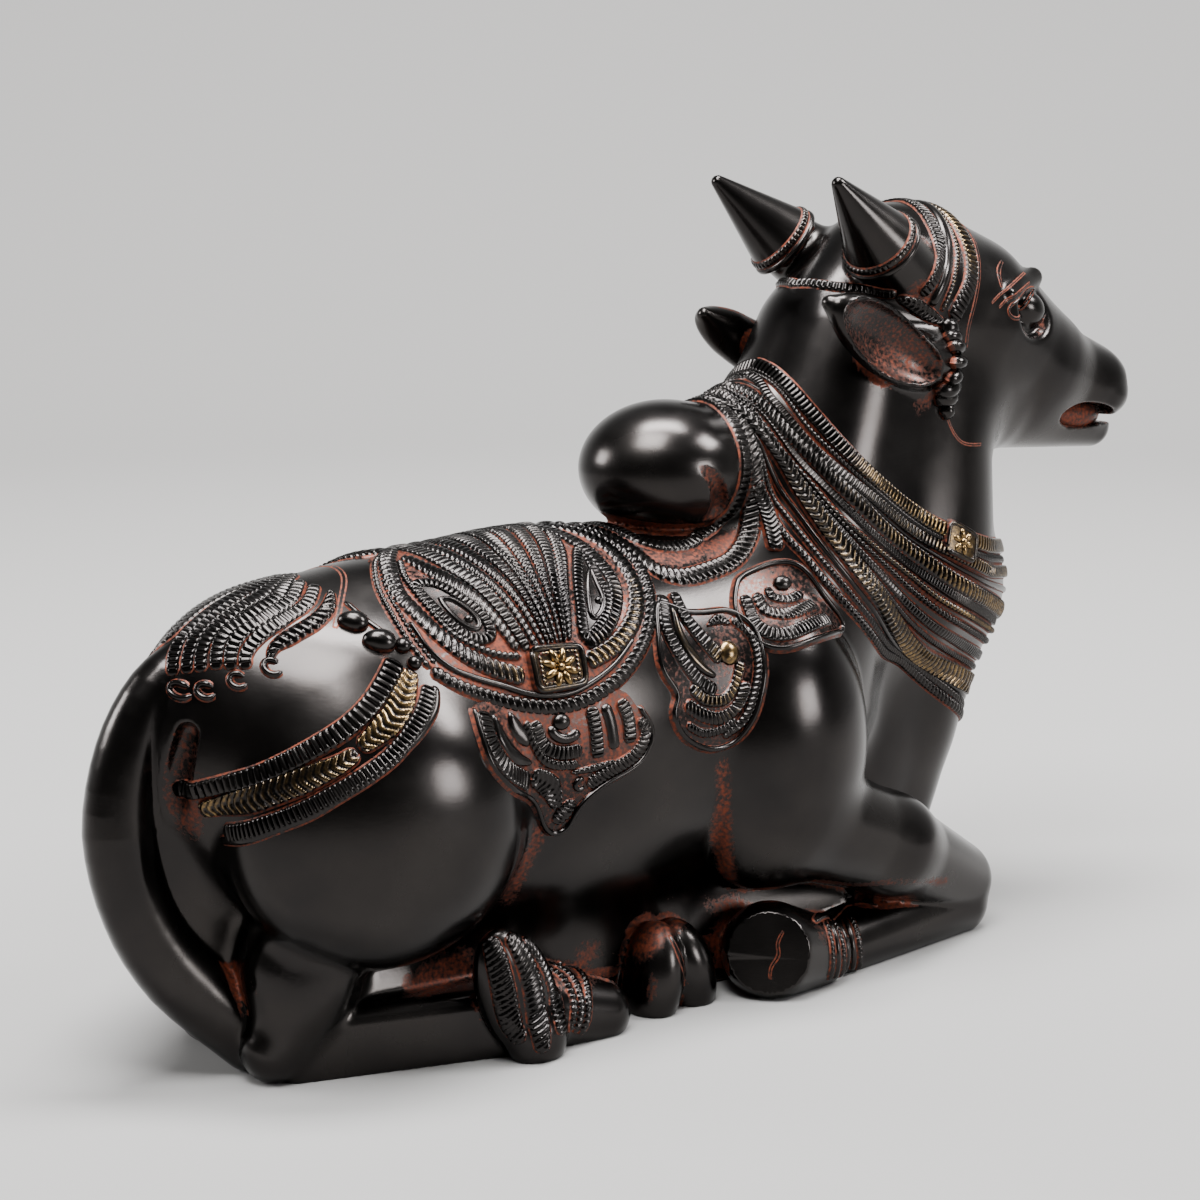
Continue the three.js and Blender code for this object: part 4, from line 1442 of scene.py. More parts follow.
@dataclass
class Pendants:
    """The scrolled shield under the cloth, the round drop beside it and the shell on the shoulder."""

    ground: float = 0.6
    tall: float = 1.0
    shield_rim: Line = (
        (-69.6, 53), (-70, 60.8), (-68.4, 68.6), (-61.5, 75.6), (-52.1, 81.4), (-47.9, 90.2), (-44.9, 92.8),
        (-41.1, 91), (-38.3, 84.9), (-31.7, 79.6), (-20.8, 75.2), (-16, 69.3), (-15.9, 64.7), (-19.3, 59),
    )
    drop_rim: Line = (
        (-4, 33), (-7.7, 40), (-9.5, 49.9), (-5.5, 57.6), (-7.8, 62.5), (-4.4, 69.6), (4.2, 74.6),
        (12.2, 74.1), (16.9, 69.1), (20.4, 61.4), (23.1, 53.1), (23.8, 42.9), (18, 37.4), (10.1, 36.8),
        (3.7, 36),
    )
    shell_rim: Line = (
        (24.5, 29.9), (19.8, 37.6), (22.1, 45.2), (27.5, 50.5), (37.9, 50.1), (56.3, 45.5), (50.9, 36.9),
        (45.4, 29.4), (38.7, 27.1), (31.3, 27.6),
    )

    def band(
        self, route: Line, half: Union[float, Sequence[float]], carve: Carve, pitch: float = 1.5,
        **more: object,
    ) -> Band:
        """A small band on a pendant's ground."""
        return flank(route, half, carve, self.tall, pitch, lift=self.ground, **more)

    def shield(self) -> list[Layable]:
        """The scrolled shield that hangs to a point."""
        lens = (0.6, 2.1, 2.3, 0.6)
        return [
            Plate(
                View.FLANK, self.shield_rim + ((-24, 54), (-33, 56), (-43, 57), (-54, 55), (-62, 51.5)),
                self.ground, stain=0.7,
            ),
            self.band(self.shield_rim, 0.75, Carve.PLAIN, stain=0.5),
            self.band([(-66.7, 54.1), (-67.1, 62.3), (-63.2, 69.9), (-53.7, 75.6)], 2.7, Carve.LADDER),
            self.band([(-63.7, 54.9), (-62.3, 62), (-58.2, 67.6), (-52, 70.2)], lens, Carve.PLAIN, stain=0.5),
            self.band([(-57.8, 54.7), (-56.2, 60), (-52.7, 65.4)], lens, Carve.PLAIN, stain=0.5),
            Bead(View.FLANK, (-43.2, 60), (2.6, 2.2, 1.6), self.ground),
            self.band(
                [(-46.6, 60.3), (-45.3, 63.7), (-41.1, 65), (-37.9, 62.9)], 1.4, Carve.PLAIN, stain=0.5,
            ),
            self.band([(-51, 58.3), (-48.8, 65.4), (-44, 68.4), (-37.6, 68.4)], 1.9, Carve.LADDER, 1.4),
            self.band([(-53.3, 57.9), (-50.5, 66.8), (-46.7, 71.2), (-38.7, 72.5)], 1.4, Carve.ROPE),
            self.band([(-34, 57), (-33.4, 63.6), (-33.2, 71.7)], 2.0, Carve.LADDER, 1.4),
            self.band([(-30.1, 56.9), (-28.6, 61.7), (-27.9, 70.2)], 1.7, Carve.PLAIN, stain=0.5),
            self.band([(-24.9, 56.4), (-23.1, 61.9), (-22.9, 69)], 2.0, Carve.LADDER, 1.4),
            self.band(
                [(-19, 61.8), (-17.8, 67.1), (-21.6, 72.4), (-30.4, 76), (-36.6, 79)], 2.0, Carve.SLANT, 1.3,
            ),
            self.band([(-53, 73.5), (-47.5, 77.5), (-44.8, 85)], (2.6, 3.4, 1.4), Carve.FEATHER, 1.5),
            self.band([(-41.5, 74.5), (-35.5, 74.2), (-27.5, 73)], (0.6, 1.1, 0.6), Carve.ROPE),
            self.band(oval((-38.6, 78.2), (1.9, 2.0), 20, 330, 12), 0.75, Carve.PLAIN, stain=0.5),
            self.band([(-45.6, 89.4), (-42.9, 86.4), (-39.8, 82.4)], (1.6, 2.6, 1.4), Carve.SLANT, 1.3),
        ]

    def drop(self) -> list[Layable]:
        """The round drop on two ladders, with its fan of brass ribs about a shell."""
        return [
            Plate(View.FLANK, self.drop_rim, self.ground, stain=0.6),
            self.band(self.drop_rim, 0.8, Carve.PLAIN, closed=True, stain=0.5),
            self.band(
                [(-1.8, 30.6), (-4.5, 39.4), (-2.6, 46.8), (1.7, 53.9), (7.8, 58.4)], 2.0, Carve.LADDER,
            ),
            self.band(
                [(-0.4, 33.8), (-0.5, 43.4), (4.1, 51.2), (8.6, 54.3)], (0.6, 1.6, 1.8, 0.7), Carve.PLAIN,
                gilt=0.5, stain=0.4,
            ),
            self.band(
                [(2.1, 30.2), (2.8, 37.1), (6.3, 43.4), (11.2, 50.2)], (1.7, 2.0, 2.4), Carve.LADDER,
                gilt=(0, 0.2, 0.7),
            ),
            Bead(View.FLANK, (13.9, 48.3), (3.6, 3.6, 1.9), self.ground, gilt=0.8, ribs=9),
            self.band(
                [(17.3, 39.2), (22.2, 44.8), (21.8, 52.7), (18.9, 61.1), (15.2, 68.1), (8.8, 71.6)], 1.5,
                Carve.ROPE,
            ),
            self.band(
                [(-0.9, 55.5), (3, 59.7), (9.3, 60.9), (13.3, 58.3), (17.5, 51)], 1.7, Carve.LADDER, gilt=0.6,
            ),
            self.band([(-3.5, 60), (2, 64), (8, 65.8), (14, 63.5), (18, 57)], 2.0, Carve.SLANT, gilt=0.4),
            self.band([(-3.6, 66), (2, 69.4), (8.6, 69.3), (13.8, 67)], 1.3, Carve.ROPE, 1.3),
            self.band([(9, 40.5), (13.5, 39.2), (17, 41)], (0.5, 1.6, 0.6), Carve.FEATHER, 1.2),
        ]

    def shell(self) -> list[Layable]:
        """The shell on the shoulder, hung from the neck by a plaited strap."""
        return [
            Plate(View.FLANK, self.shell_rim, self.ground, stain=0.6),
            self.band(self.shell_rim, 0.8, Carve.PLAIN, closed=True, stain=0.5),
            self.band([(41, 12.9), (42.9, 15.8), (40.7, 24.6)], 2.3, Carve.FEATHER),
            self.band([(33.4, 32.4), (33.5, 35.7), (38.1, 37.3), (44.1, 35.4)], 1.6, Carve.LADDER),
            self.band([(28.7, 33.4), (29.6, 39.4), (35.7, 41.8), (47.3, 38.8)], 2.0, Carve.SLANT, gilt=0.3),
            self.band([(24.3, 33.7), (25.2, 43.3), (31.8, 47.3), (50.3, 43.4)], 2.1, Carve.LADDER, 1.4),
            Bead(View.FLANK, (38.7, 32.2), (3.0, 2.4, 1.7), self.ground, ribs=7),
        ]


@dataclass
class Crupper:
    """The bands round the haunch and the net of ribbons over the rump."""

    ladder: Line = (
        (-87, 109), (-92.1, 104.4), (-98.1, 99.4), (-104.5, 95.1), (-111.4, 91.1), (-118.7, 86.6),
        (-125.7, 82.1), (-132.1, 79), (-136.3, 77.2),
    )
    leaf_upper: Line = ((-84, 106.6), (-87.9, 102.0), (-92.4, 97.2), (-98.3, 93.2), (-103, 90.2))
    leaf_lower: Line = (
        (-103.2, 89.6), (-108.1, 86.7), (-112.7, 84.6), (-120.6, 80.5), (-127, 76.2), (-132.5, 73.2),
    )
    fine_ladder: Line = (
        (-80.5, 102), (-85.2, 96.5), (-90, 92.3), (-96.2, 87.5), (-103.2, 83.4), (-110.3, 79.4),
        (-117.1, 75.4), (-123.9, 71.2), (-128.4, 67.4),
    )
    outer_edge: Line = (
        (-78.7, 102.5), (-81, 97.8), (-86.4, 93.3), (-93.4, 88.7), (-100.8, 83.8), (-108.2, 79.6),
        (-115.3, 75), (-122.4, 70.8), (-128.4, 65.5),
    )
    ribbons: tuple[Line, ...] = (
        ((-120.5, 19.9), (-119.3, 17.8), (-114.7, 16.7), (-107.5, 16.2), (-100, 14.1), (-94.4, 8.3)),
        ((-123.6, 17.7), (-121.9, 15.2), (-118.3, 13.8), (-111.2, 13.4), (-103.1, 11.2), (-96.5, 4.5)),
        ((-126.4, 15.5), (-124.8, 13.1), (-121.5, 11.3), (-114.6, 11.2), (-106, 9.1), (-97.8, 1.5)),
        ((-129.4, 13.1), (-127.7, 10.5), (-124.2, 8.7), (-116.9, 7.9), (-108.6, 6.5), (-101.5, 1.6)),
        ((-131.9, 10.4), (-130, 7.9), (-126.4, 5.9), (-119.4, 5.1), (-111.8, 3.7), (-105.3, 1.3)),
        ((-134.3, 7.2), (-132.4, 4.7), (-129, 2.6), (-122.6, 2.4), (-115.5, 2.0), (-109.5, 1.2)),
    )
    crescent: Line = (
        (-115.2, 22.3), (-112.9, 20.7), (-107.8, 20.8), (-101.8, 20.5), (-96.4, 18.1), (-92, 12.4),
    )

    def bands(self) -> list[Layable]:
        """The four bands that lie side by side round the haunch."""
        return [
            side(self.ladder, (2.8, 2.7, 2.1), Carve.LADDER, 1.4, 1.8),
            side(self.leaf_upper, (2.0, 3.6, 3.7, 2.0), Carve.FEATHER, 1.3, 2.1, gilt=0.9),
            side(self.leaf_lower, (2.0, 3.5, 3.5, 2.0), Carve.FEATHER, 1.3, 2.1, gilt=0.65),
            side([(x + 0.2, z + 0.5) for x, z in self.fine_ladder], 2.4, Carve.LADDER, 1.2, 1.4, gilt=0.2),
            side(self.outer_edge, 1.15, Carve.PLAIN, 1.0, stain=0.6),
        ]

    def net(self) -> list[Layable]:
        """The ribbons over the rump, their curled ends and the beads beside them."""
        curls = ((-115.1, 108.4), (-122.8, 105.4), (-129.5, 102.9), (-133.9, 102.6))
        return [
            above(self.crescent, (0.7, 2.4, 2.6, 2.2, 0.8), Carve.SLANT, 1.5, 2.0),
            *[
                above(line, (1.6, 2.1, 2.1, 1.6), Carve.LADDER, 0.9, 1.7, to_middle=line[-1][1] < 2)
                for line in self.ribbons
            ],
            *[side(oval(spot, (1.9, 1.9), 30, 340, 14), 0.8, Carve.PLAIN, 1.2, stain=0.5) for spot in curls],
            Bead(View.SIDE, (-92.6, 117.4), (4.2, 3.2, 2.8), 0.3, ribs=3, turn=-30),
            Bead(View.SIDE, (-89.0, 113.2), (4.6, 3.4, 3.0), 0.3, ribs=3, turn=-20),
            Bead(View.SIDE, (-83.6, 111.8), (2.2, 2.2, 2.0), 0.2),
            Bead(View.SIDE, (-82.4, 107.8), (1.9, 1.9, 1.8), 0.2),
            flank(
                [(-84.5, 0), (-86, 7.5), (-91.8, 16.3), (-98, 25.3)], 0.5, Carve.LINE, 0.2, from_middle=True,
            ),
            flank([(-91.1, 16.6), (-89.5, 24.6), (-86.4, 31.1)], 0.8, Carve.PLAIN, 0.8, stain=0.6),
        ]


@dataclass
class Garlands:
    """The necklaces from the nape to the chest and the rings round the foot of the hump."""

    first: Line = (
        (55.1, 172.3), (56, 167.7), (58.6, 160.6), (64, 151.7), (73.1, 142.3), (87.1, 132.6),
        (101.5, 124.6), (118, 119), (130, 116.5),
    )
    second: Line = (
        (52, 169.4), (50.5, 164.2), (53.9, 155.6), (59.7, 147.4), (67.2, 140.4), (79, 131.9), (91.6, 123.8),
        (105.7, 116.8), (120, 111), (132, 108.5),
    )
    third: Line = (
        (46.5, 165.6), (50, 157.1), (56.5, 148.2), (63.6, 139.1), (75.3, 128.4), (90.9, 117.7),
        (105.7, 108.5), (131.5, 97.7),
    )
    fourth: Line = (
        (43.8, 162.2), (46.2, 154.3), (53.1, 143.8), (59.5, 133.4), (69.4, 124.5), (85.9, 113.4),
        (101.5, 103.2), (130.9, 90.7),
    )
    fifth: Line = (
        (43.6, 155.9), (49.4, 146.1), (53.8, 134.3), (59.7, 123.8), (70.7, 110.6), (92, 91.3), (123.7, 75.1),
    )
    sixth: Line = (
        (42, 143.3), (44.4, 128.7), (47.9, 122.3), (53.3, 114), (62.3, 104.8), (78.4, 91.8), (94.3, 84.6),
        (112, 73),
    )
    ring_inner: Line = (
        (36.7, 162.9), (36.1, 157), (35.6, 148.4), (34.1, 139.4), (30.4, 131.7), (19.2, 127), (9.9, 126.3),
        (3.5, 127.9), (0.7, 130.7),
    )
    ring_outer: Line = (
        (40.2, 160.9), (39.2, 151.7), (40.5, 140.3), (37.4, 130.1), (28.8, 123), (16.9, 120.2),
        (7.6, 119.6), (0.8, 122.1), (-2.3, 127.2),
    )

    def necklaces(self) -> list[Layable]:
        """The rows from the nape down to the breast."""
        return [
            side(
                self.first, (2.4, 2.1, 2.3, 2.6), Carve.LADDER, 1.7, 1.5,
                gilt=(0, 0.1, 0.5, 0.8, 0.9, 0.8, 0.7), **THROUGH,
            ),
            side(between(self.first, self.second, 0.5), (0.7, 1.1, 1.4), Carve.ROPE, 0.9, 1.4, **THROUGH),
            side(
                self.second, (1.5, 1.8, 2.1), Carve.LADDER, 1.4, 1.4, gilt=(0, 0.2, 0.5, 0.7, 0.6), **THROUGH,
            ),
            side(
                between(self.second, self.third, 0.45), (0.4, 0.6, 1.1), Carve.PLAIN, 0.9, stain=0.5,
                **THROUGH,
            ),
            side(
                self.third, (1.9, 2.3, 2.6, 3.1), Carve.SLANT, 1.6, 1.9, gilt=(0, 0.3, 0.7, 0.7, 0.6),
                **THROUGH,
            ),
            side(
                between(self.third, self.fourth, 0.52), (0.9, 1.4, 1.8), Carve.FRINGE, 0.8, 1.1, stain=0.15,
                **THROUGH,
            ),
            side(self.fourth, (0.8, 1.0, 1.1), Carve.BEADS, 1.4, 1.7, gilt=(0, 0.4, 0.6, 0.5), **THROUGH),
            side(between(self.fourth, self.fifth, 0.2), (0.7, 1.0, 1.2), Carve.BEADS, 1.2, 1.7, **THROUGH),
            side(between(self.fourth, self.fifth, 0.48), (0.7, 1.3, 1.9), Carve.LADDER, 1.1, 1.5, **THROUGH),
            side(between(self.fourth, self.fifth, 0.7), (0.4, 0.8, 1.2), Carve.ROPE, 0.9, 1.3, **THROUGH),
        ]

    def breast(self) -> list[Layable]:
        """The wide feathered row and the fringe under it, on the breast."""
        return [
            side(
                self.fifth, (1.6, 2.6, 3.3, 4.0), Carve.FEATHER, 1.6, 2.2, gilt=(0, 0.5, 0.6, 0.6), **THROUGH,
            ),
            side(
                between(self.fifth, self.sixth, 0.42), (0.6, 0.9, 1.2), Carve.PLAIN, 1.0, stain=0.5,
                **THROUGH,
            ),
            side(between(self.fifth, self.sixth, 0.68), (0.7, 1.1, 1.5), Carve.ROPE, 1.0, 1.5, **THROUGH),
            side(self.sixth, (1.0, 1.4, 1.8), Carve.SLANT, 1.2, 1.8, **THROUGH),
        ]

    def rings(self) -> list[Layable]:
        """The two rings round the foot of the hump."""
        return [
            side(self.ring_inner, (2.2, 2.3, 2.1), Carve.LADDER, 1.3, 1.7, **THROUGH),
            side(self.ring_outer, (2.0, 3.0, 3.0, 2.2), Carve.SLANT, 1.4, 2.1, **THROUGH),
        ]

    def clasp(self) -> list[Layable]:
        """The flowered clasp on the upper necklace."""
        outline = ((99, 119.5), (108.5, 115), (111, 122.5), (101.5, 127.5))
        return [
            Plate(View.SIDE, outline, 2.0, straight=True, rows=56, columns=8, stain=0.3, gilt=0.6),
            side(outline + outline[:1], 0.7, Carve.PLAIN, 0.6, lift=1.8, straight=True, gilt=0.4, stain=0.4),
            *flower(View.SIDE, (105, 121.2), 6, 2.3, (1.7, 1.0, 0.9), 1.9),
        ]


def round_horn(shift: float, radius: float) -> list[Point]:
    """A ring round the right horn.

    Args:
        shift: how far from the horn's foot towards its tip.
        radius: how wide, before it settles on the horn.
    Returns:
        Its points, the last of them the first again.
    """
    foot, tip = np.array(HORN_FOOT), np.array(HORN_TIP)
    axis = (tip - foot) / np.linalg.norm(tip - foot)
    first = np.cross(axis, (0.0, 0.0, 1.0))
    first /= np.linalg.norm(first)
    second = np.cross(axis, first)
    turns = np.linspace(0, 2 * math.pi, 49)[:, None]
    ring = foot + shift * axis + radius * (np.cos(turns) * first + np.sin(turns) * second)
    return [tuple(p) for p in ring.tolist()]


@dataclass
class Headgear:
    """The bands over the brow, the strap to the nape, the cheek line and the ear drop."""

    ticked: Line = (
        (107.1, -14.8, 213.8), (105.2, -21.4, 207.2), (99.2, -27.5, 200.9), (95.1, -28.5, 196),
        (92.5, -28.5, 192.5),
    )
    polished: Line = (
        (110.6, -16.6, 212.1), (107.3, -23, 204.7), (102.2, -27.5, 198.3), (98.9, -28.1, 193.4),
        (97, -28, 189.5),
    )
    thin: Line = (
        (112.8, -18, 210.4), (110.8, -22.9, 203.8), (106.5, -26.5, 197.3), (103.4, -27.6, 192.4),
        (101.3, -27.5, 188),
    )
    wide: Line = (
        (117.1, -18.5, 208.6), (116.1, -22.9, 202), (113.1, -25.7, 195.3), (108.6, -26.9, 190),
        (105.6, -27.1, 185.5),
    )
    cheek: Line = (
        (122.3, -18.7, 205.9), (118.9, -23.8, 198.5), (115.1, -26.3, 190.2), (112.7, -26.6, 183.5),
        (112.7, -25.7, 176.6),
    )
    jaw: Line = (
        (104.7, -26.1, 159.1), (106.5, -26.9, 153.9), (109.5, -27.6, 149.9), (113.7, -27.5, 148.7),
        (119.8, -26, 148.3),
    )
    nape: Line = ((69.6, -2.8, 196.1), (73.1, -11.8, 195.5), (78.7, -18.1, 194.8), (85.8, -25.2, 193.7))
    leaves: Line = ((86.1, -24.8, 192.8), (91.7, -26.3, 190.2), (98.1, -26.8, 186.6), (103.7, -27, 183.9))
    brow: Line = ((142.5, -18.6, 197.7), (129.2, -25.5, 194), (122, -25.8, 189.5))
    lid: Line = ((142.1, -21, 195.1), (130.1, -25.9, 191.4), (124.9, -25.9, 188.1))
    brow_curl: Line = ((132.8, -19, 201.8), (128.2, -22, 199), (127.6, -23.4, 196.5), (127.6, -24.7, 193.6))
    eye_rim: Line = (
        (145.6, -18.8, 193.2), (140.5, -21.5, 189), (133, -25, 184.6), (128.6, -25.9, 187.4),
        (134, -24.6, 190.8), (140, -21.6, 193.4),
    )

    def straps(self) -> list[Layable]:
        """The bands over the brow and the strap to the nape."""
        return [
            near_skin(self.ticked, (1.8, 2.2, 1.8), Carve.LADDER, 1.1, 1.5, from_middle=True),
            near_skin(self.polished, (1.5, 1.9, 1.5), Carve.PLAIN, 1.2, stain=0.4, from_middle=True),
            near_skin(self.thin, 0.9, Carve.ROPE, 1.0, 1.3, gilt=0.5, from_middle=True),
            near_skin(
                self.wide, (2.4, 2.7, 2.4), Carve.LADDER, 1.3, 1.7, gilt=(0.2, 0.8, 0.8, 0.2, 0),
                from_middle=True,
            ),
            near_skin(self.cheek, 0.4, Carve.LINE, 0.3, from_middle=True),
            near_skin(self.jaw, 0.2, Carve.LINE, 0.2),
            near_skin(self.nape, 1.6, Carve.LADDER, 1.0, 1.7, from_middle=True),
            near_skin(self.leaves, (1.2, 2.5, 2.2, 1.0), Carve.FEATHER, 1.3, 1.8),
        ]

    def face(self) -> list[Layable]:
        """The lines of the brow, the lids and the eye, and the horns' ticked collars."""
        return [
            near_skin(self.brow, 0.15, Carve.LINE, 0.2),
            near_skin(self.lid, 0.15, Carve.LINE, 0.2),
            near_skin(self.brow_curl, (0.2, 0.6, 0.2), Carve.LINE, 0.2),
            near_skin(self.eye_rim, 0.3, Carve.PLAIN, 0.4, closed=True),
            near_skin(round_horn(1.1, 11.3), 0.9, Carve.PLAIN, 0.7, closed=True, straight=True, stain=0.4),
            near_skin(
                round_horn(3.3, 10.4), 1.1, Carve.LADDER, 0.7, 1.6, closed=True, straight=True, gilt=0.3,
            ),
        ]

    def ear_drop(self) -> list[Layable]:
        """The drop behind the cheek: a square, ribbed beads, a cap and a tassel."""
        spots = (
            ((104.1, -27.2, 183.4), (3.8, 3.2, 2.8), 4), ((103.6, -27.5, 179.8), (4.6, 2.4, 3.2), 9),
            ((103, -28, 176.8), (4.9, 2.4, 3.4), 9), ((102.4, -28.4, 173.8), (4.9, 2.4, 3.4), 9),
            ((102, -28.6, 170.8), (4.6, 2.4, 3.2), 9), ((102.8, -28.2, 167), (6.2, 3.2, 4.2), 13),
            ((104.6, -26.6, 163), (4.8, 3.4, 3.6), 9), ((104.8, -26, 159), (2.6, 2.8, 2.6), 5),
        )
        return [Bead(View.SPACE, at, radii, 0.3, ribs=ribs) for at, radii, ribs in spots]


@dataclass
class Mouth:
    """The rusty lining that closes the open mouth inside."""

    middle: Point = (178.0, 0.0, 151.6)
    size: Point = (15.0, 9.0, 6.5)
    stain: float = 0.85

    def made(self) -> bpy.types.Object:
        """The lining as a piece, buried in the muzzle all round its opening."""
        deselect()
        place = frame_metres(np.array(self.middle))
        bpy.ops.mesh.primitive_uv_sphere_add(segments=48, ring_count=24, radius=MM, location=place)
        piece = bpy.context.active_object
        piece.name = piece.data.name = "mouth_lining"
        piece.scale = self.size
        bpy.ops.object.transform_apply(location=True, rotation=False, scale=True)
        bpy.ops.object.shade_smooth()
        count = len(piece.data.vertices)
        set_values(piece.data, "stain", np.full(count, self.stain))
        set_values(piece.data, "gilt", np.zeros(count))
        return piece


@dataclass
class Feet:
    """The hair, hooves and anklets at the ground."""

    tuft: tuple[Line, ...] = (
        ((-64.7, -42.2, 35.9), (-63.4, -45.5, 26.3), (-61.4, -45.9, 15.7), (-59.6, -48.4, 5.7)),
        ((-59.3, -44.7, 36.6), (-55.1, -47.3, 25.2), (-53.3, -48, 14.7), (-52.7, -48.7, 3.3)),
        ((-53.5, -44.9, 34.6), (-47.4, -44.7, 26.1), (-45.1, -44.8, 16.3), (-47.2, -48.7, 6.5)),
    )
    anklets: tuple[Line, ...] = (
        ((50.6, -41, 18.5), (49.1, -44.8, 15.7), (48.4, -47.4, 9.7), (48.8, -45.4, 2.3)),
        ((64.4, -34, 16.6), (63, -38.6, 12.6), (62.4, -41.1, 7.6), (62.9, -39, 1)),
    )
    hoof_edge: Line = ((-23.5, -25.7, 15.3), (-31.2, -42.4, 12.8), (-34.1, -44.6, 5.5), (-36, -43.8, 2.5))
    beaded_edge: Line = ((-45.5, -38, 30.8), (-40.2, -38.7, 20.8), (-39.1, -43.7, 12.3), (-41.5, -45.1, 5))
    toe_cleft: Line = ((-2.5, -35.9, 22.8), (-1, -39.2, 16.9), (3.1, -38.3, 6.6))
    sole_pit: Line = (
        (31.5, -44.8, 20), (29, -44.4, 16), (30.5, -44.4, 13), (27.2, -44, 9.5), (28, -43.4, 5.5),
    )
    fringe: Line = ((41.9, -44.8, 20.3), (61.7, -30.3, 17.8), (71.9, -28.4, 17.2), (76.5, -33, 15.7))

    def hair(self) -> list[Layable]:
        """The combed tuft of hair on the hind leg."""
        half = (2.2, 3.2, 3.4, 3.2, 2.0)
        return [near_skin(line, half, Carve.SLANT, 1.2, 1.6, stain=0.8) for line in self.tuft]

    def hooves(self) -> list[Layable]:
        """The cords round the front pastern, the rows over the hind hoof, and the line and fringe beside."""
        kinds = [Carve.ROPE, Carve.PLAIN] * 4
        cords = [
            near_skin(between(*self.anklets, share), 1.0, carve, 1.0, 1.4)
            for share, carve in zip(np.linspace(-0.15, 1, 7).tolist(), kinds)
        ]
        rows = [
            near_skin(between(self.beaded_edge, self.hoof_edge, share), 1.2, carve, 0.9, 1.6)
            for share, carve in ((0.0, Carve.BEADS), (0.35, Carve.SLANT), (0.7, Carve.ROPE))
        ]
        return [
            *cords,
            *rows,
            near_skin(self.sole_pit, (0.15, 0.3, 0.15), Carve.LINE, 0.15),
            near_skin(self.fringe, (0.8, 1.8, 1.6, 0.8), Carve.FRINGE, 0.8, 1.3),
        ]

    def cleft(self) -> list[Layable]:
        """The cleft of the hoof that peeps out on the right."""
        return [near_skin(self.toe_cleft, (0.3, 1.1, 0.4), Carve.LINE, 0.15)]


class Trappings(Enum):
    """The pieces of the bull's dress, by the name each is kept under."""

    NECKLACES = "necklaces"
    BREAST_GARLAND = "breast_garland"
    HUMP_RINGS = "hump_rings"
    NECK_CLASP = "neck_clasp"
    SADDLE_CLOTH = "saddle_cloth"
    SADDLE_RAYS = "saddle_rays"
    SADDLE_CLASP = "saddle_clasp"
    SHIELD_PENDANT = "shield_pendant"
    DROP_PENDANT = "drop_pendant"
    SHELL_PENDANT = "shell_pendant"
    CRUPPER_BANDS = "crupper_bands"
    RUMP_NET = "rump_net"
    HEAD_STRAPS = "head_straps"
    FACE_LINES = "face_lines"
    EAR_DROP = "ear_drop"
    TOE_CLEFT = "toe_cleft"
    LEG_TUFT = "leg_tuft"
    HOOF_DETAIL = "hoof_detail"


def trappings() -> dict[Trappings, list[Layable]]:
    """What each piece of the dress is made of."""
    cloth, pendants, crupper = SaddleCloth(), Pendants(), Crupper()
    garlands, headgear, feet = Garlands(), Headgear(), Feet()
    return {
        Trappings.NECKLACES: garlands.necklaces(),
        Trappings.BREAST_GARLAND: garlands.breast(),
        Trappings.HUMP_RINGS: garlands.rings(),
        Trappings.NECK_CLASP: garlands.clasp(),
        Trappings.SADDLE_CLOTH: cloth.cloth_parts(),
        Trappings.SADDLE_RAYS: cloth.ray_parts(),
        Trappings.SADDLE_CLASP: cloth.clasp_parts(),
        Trappings.SHIELD_PENDANT: pendants.shield(),
        Trappings.DROP_PENDANT: pendants.drop(),
        Trappings.SHELL_PENDANT: pendants.shell(),
        Trappings.CRUPPER_BANDS: crupper.bands(),
        Trappings.RUMP_NET: crupper.net(),
        Trappings.HEAD_STRAPS: headgear.straps(),
        Trappings.FACE_LINES: headgear.face(),
        Trappings.EAR_DROP: headgear.ear_drop(),
        Trappings.TOE_CLEFT: feet.cleft(),
        Trappings.LEG_TUFT: feet.hair(),
        Trappings.HOOF_DETAIL: feet.hooves(),
    }


# The studio


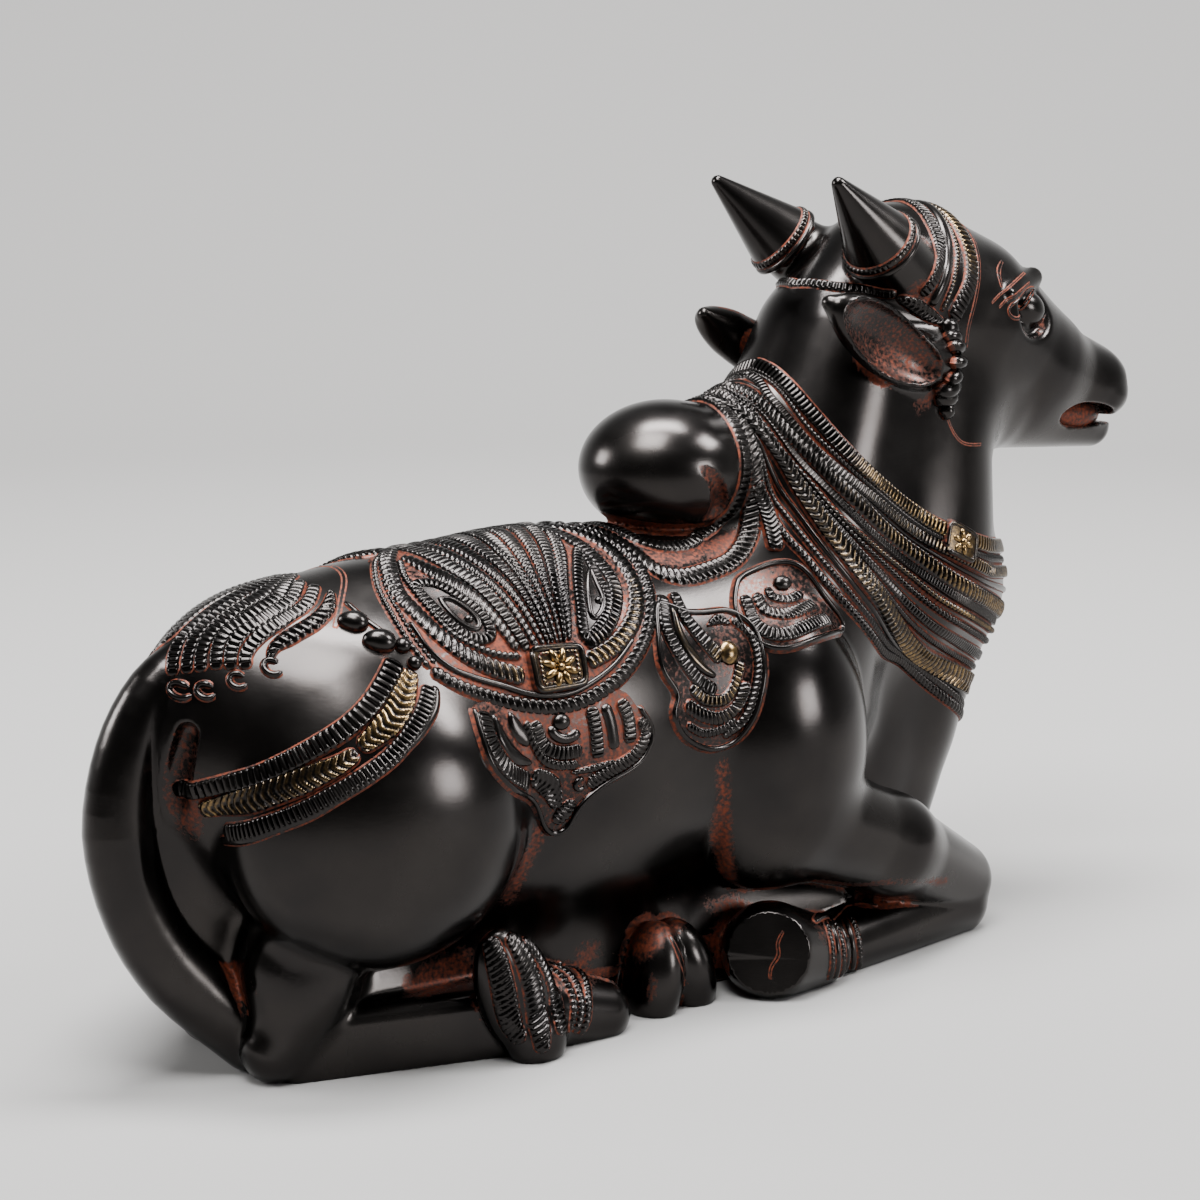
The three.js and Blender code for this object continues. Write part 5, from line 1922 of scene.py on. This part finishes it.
@dataclass
class Studio:
    """A pale floor, soft lights and the camera at the photograph's place."""

    azimuth: float = -35.0
    elevation: float = 10.2
    distance: float = 700.0
    lens: float = 75.0
    target: Point = (0.0, 0.0, 110.0)
    sweep_size: float = 7.0
    sweep_start: float = 1.3
    sweep_rise: float = 0.55
    paper: str = "#807f7e"
    room: float = 0.3

    def floor(self) -> None:
        """A plain pale floor that sweeps up into a backdrop all round, with no horizon."""
        deselect()
        bpy.ops.mesh.primitive_grid_add(x_subdivisions=80, y_subdivisions=80, size=self.sweep_size)
        floor = bpy.context.active_object
        floor.name = "studio_floor"
        for vertex in floor.data.vertices:
            beyond = max(0.0, math.hypot(vertex.co.x, vertex.co.y) - self.sweep_start)
            vertex.co.z = self.sweep_rise * beyond**2
        bpy.ops.object.shade_smooth()
        paint = bpy.data.materials.new("studio_paper")
        paint.use_nodes = True
        shader = paint.node_tree.nodes["Principled BSDF"]
        shader.inputs["Base Color"].default_value = linear(self.paper)
        shader.inputs["Roughness"].default_value = 0.9
        shader.inputs["Specular IOR Level"].default_value = 0.1
        floor.data.materials.append(paint)

    def lamp(self, name: str, at: Point, size: float, power: float, aim: Point = (0.0, 0.0, 0.1)) -> None:
        """A square soft light.

        Args:
            name: the light's name.
            at: where it stands, in metres.
            size: the length of its side, in metres.
            power: its power in watts.
            aim: what it faces, in metres.
        """
        data = bpy.data.lights.new(name, "AREA")
        data.size = size
        data.energy = power
        lamp = bpy.data.objects.new(name, data)
        bpy.context.scene.collection.objects.link(lamp)
        lamp.location = at
        lamp.rotation_euler = (Vector(aim) - Vector(at)).to_track_quat("-Z", "Y").to_euler()

    def lights(self) -> None:
        """A dim white room, four soft lights round the bull and one on the backdrop."""
        world = bpy.data.worlds.new("studio")
        bpy.context.scene.world = world
        world.use_nodes = True
        background = world.node_tree.nodes["Background"]
        background.inputs["Color"].default_value = linear("#ffffff")
        background.inputs["Strength"].default_value = self.room
        self.lamp("softbox_above", (-0.3, -0.25, 1.0), 0.45, 27)
        self.lamp("softbox_right_high", (0.68, -0.48, 0.85), 0.3, 18)
        self.lamp("softbox_left_behind", (-0.85, 0.6, 0.5), 0.34, 12)
        self.lamp("softbox_right_low", (0.5, -1.0, 0.3), 0.3, 8)
        self.lamp("backdrop_light", (0.2, 0.1, 1.9), 1.0, 245, aim=(1.4, 2.0, 0.4))

    def camera(self) -> None:
        """The camera where the photograph was taken from."""
        a, e = math.radians(self.azimuth), math.radians(self.elevation)
        back = Vector((math.sin(a) * math.cos(e), -math.cos(a) * math.cos(e), math.sin(e)))
        data = bpy.data.cameras.new("photo_camera")
        data.lens = self.lens
        data.sensor_width = 36
        data.clip_start = 0.01
        camera = bpy.data.objects.new("photo_camera", data)
        bpy.context.scene.collection.objects.link(camera)
        aim = Vector(frame_metres(np.array(self.target)))
        camera.location = aim + back * self.distance * MM
        camera.rotation_euler = (-back).to_track_quat("-Z", "Y").to_euler()
        bpy.context.scene.camera = camera

    def set_up(self) -> None:
        """Everything around the bull."""
        self.floor()
        self.lights()
        self.camera()


def main() -> None:
    """Builds the bull, its trappings and the studio."""
    logging.basicConfig(level=logging.INFO, format="%(message)s")
    bull = Skin(bull_masses())
    dresser = Dresser(PatinatedBrass("blackened_polished_brass").made())
    for kind, parts in trappings().items():
        sheets = [sheet_object(part.laid(bull)) for part in parts]
        dresser.dress(joined(sheets, kind.value, mirrored=kind is not Trappings.TOE_CLEFT))
    dresser.dress(Mouth().made())
    hide = Hide(bull).made()
    dresser.dress(hide)
    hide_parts("nandi_bull")
    Studio().set_up()


if __name__ == "__main__":
    main()
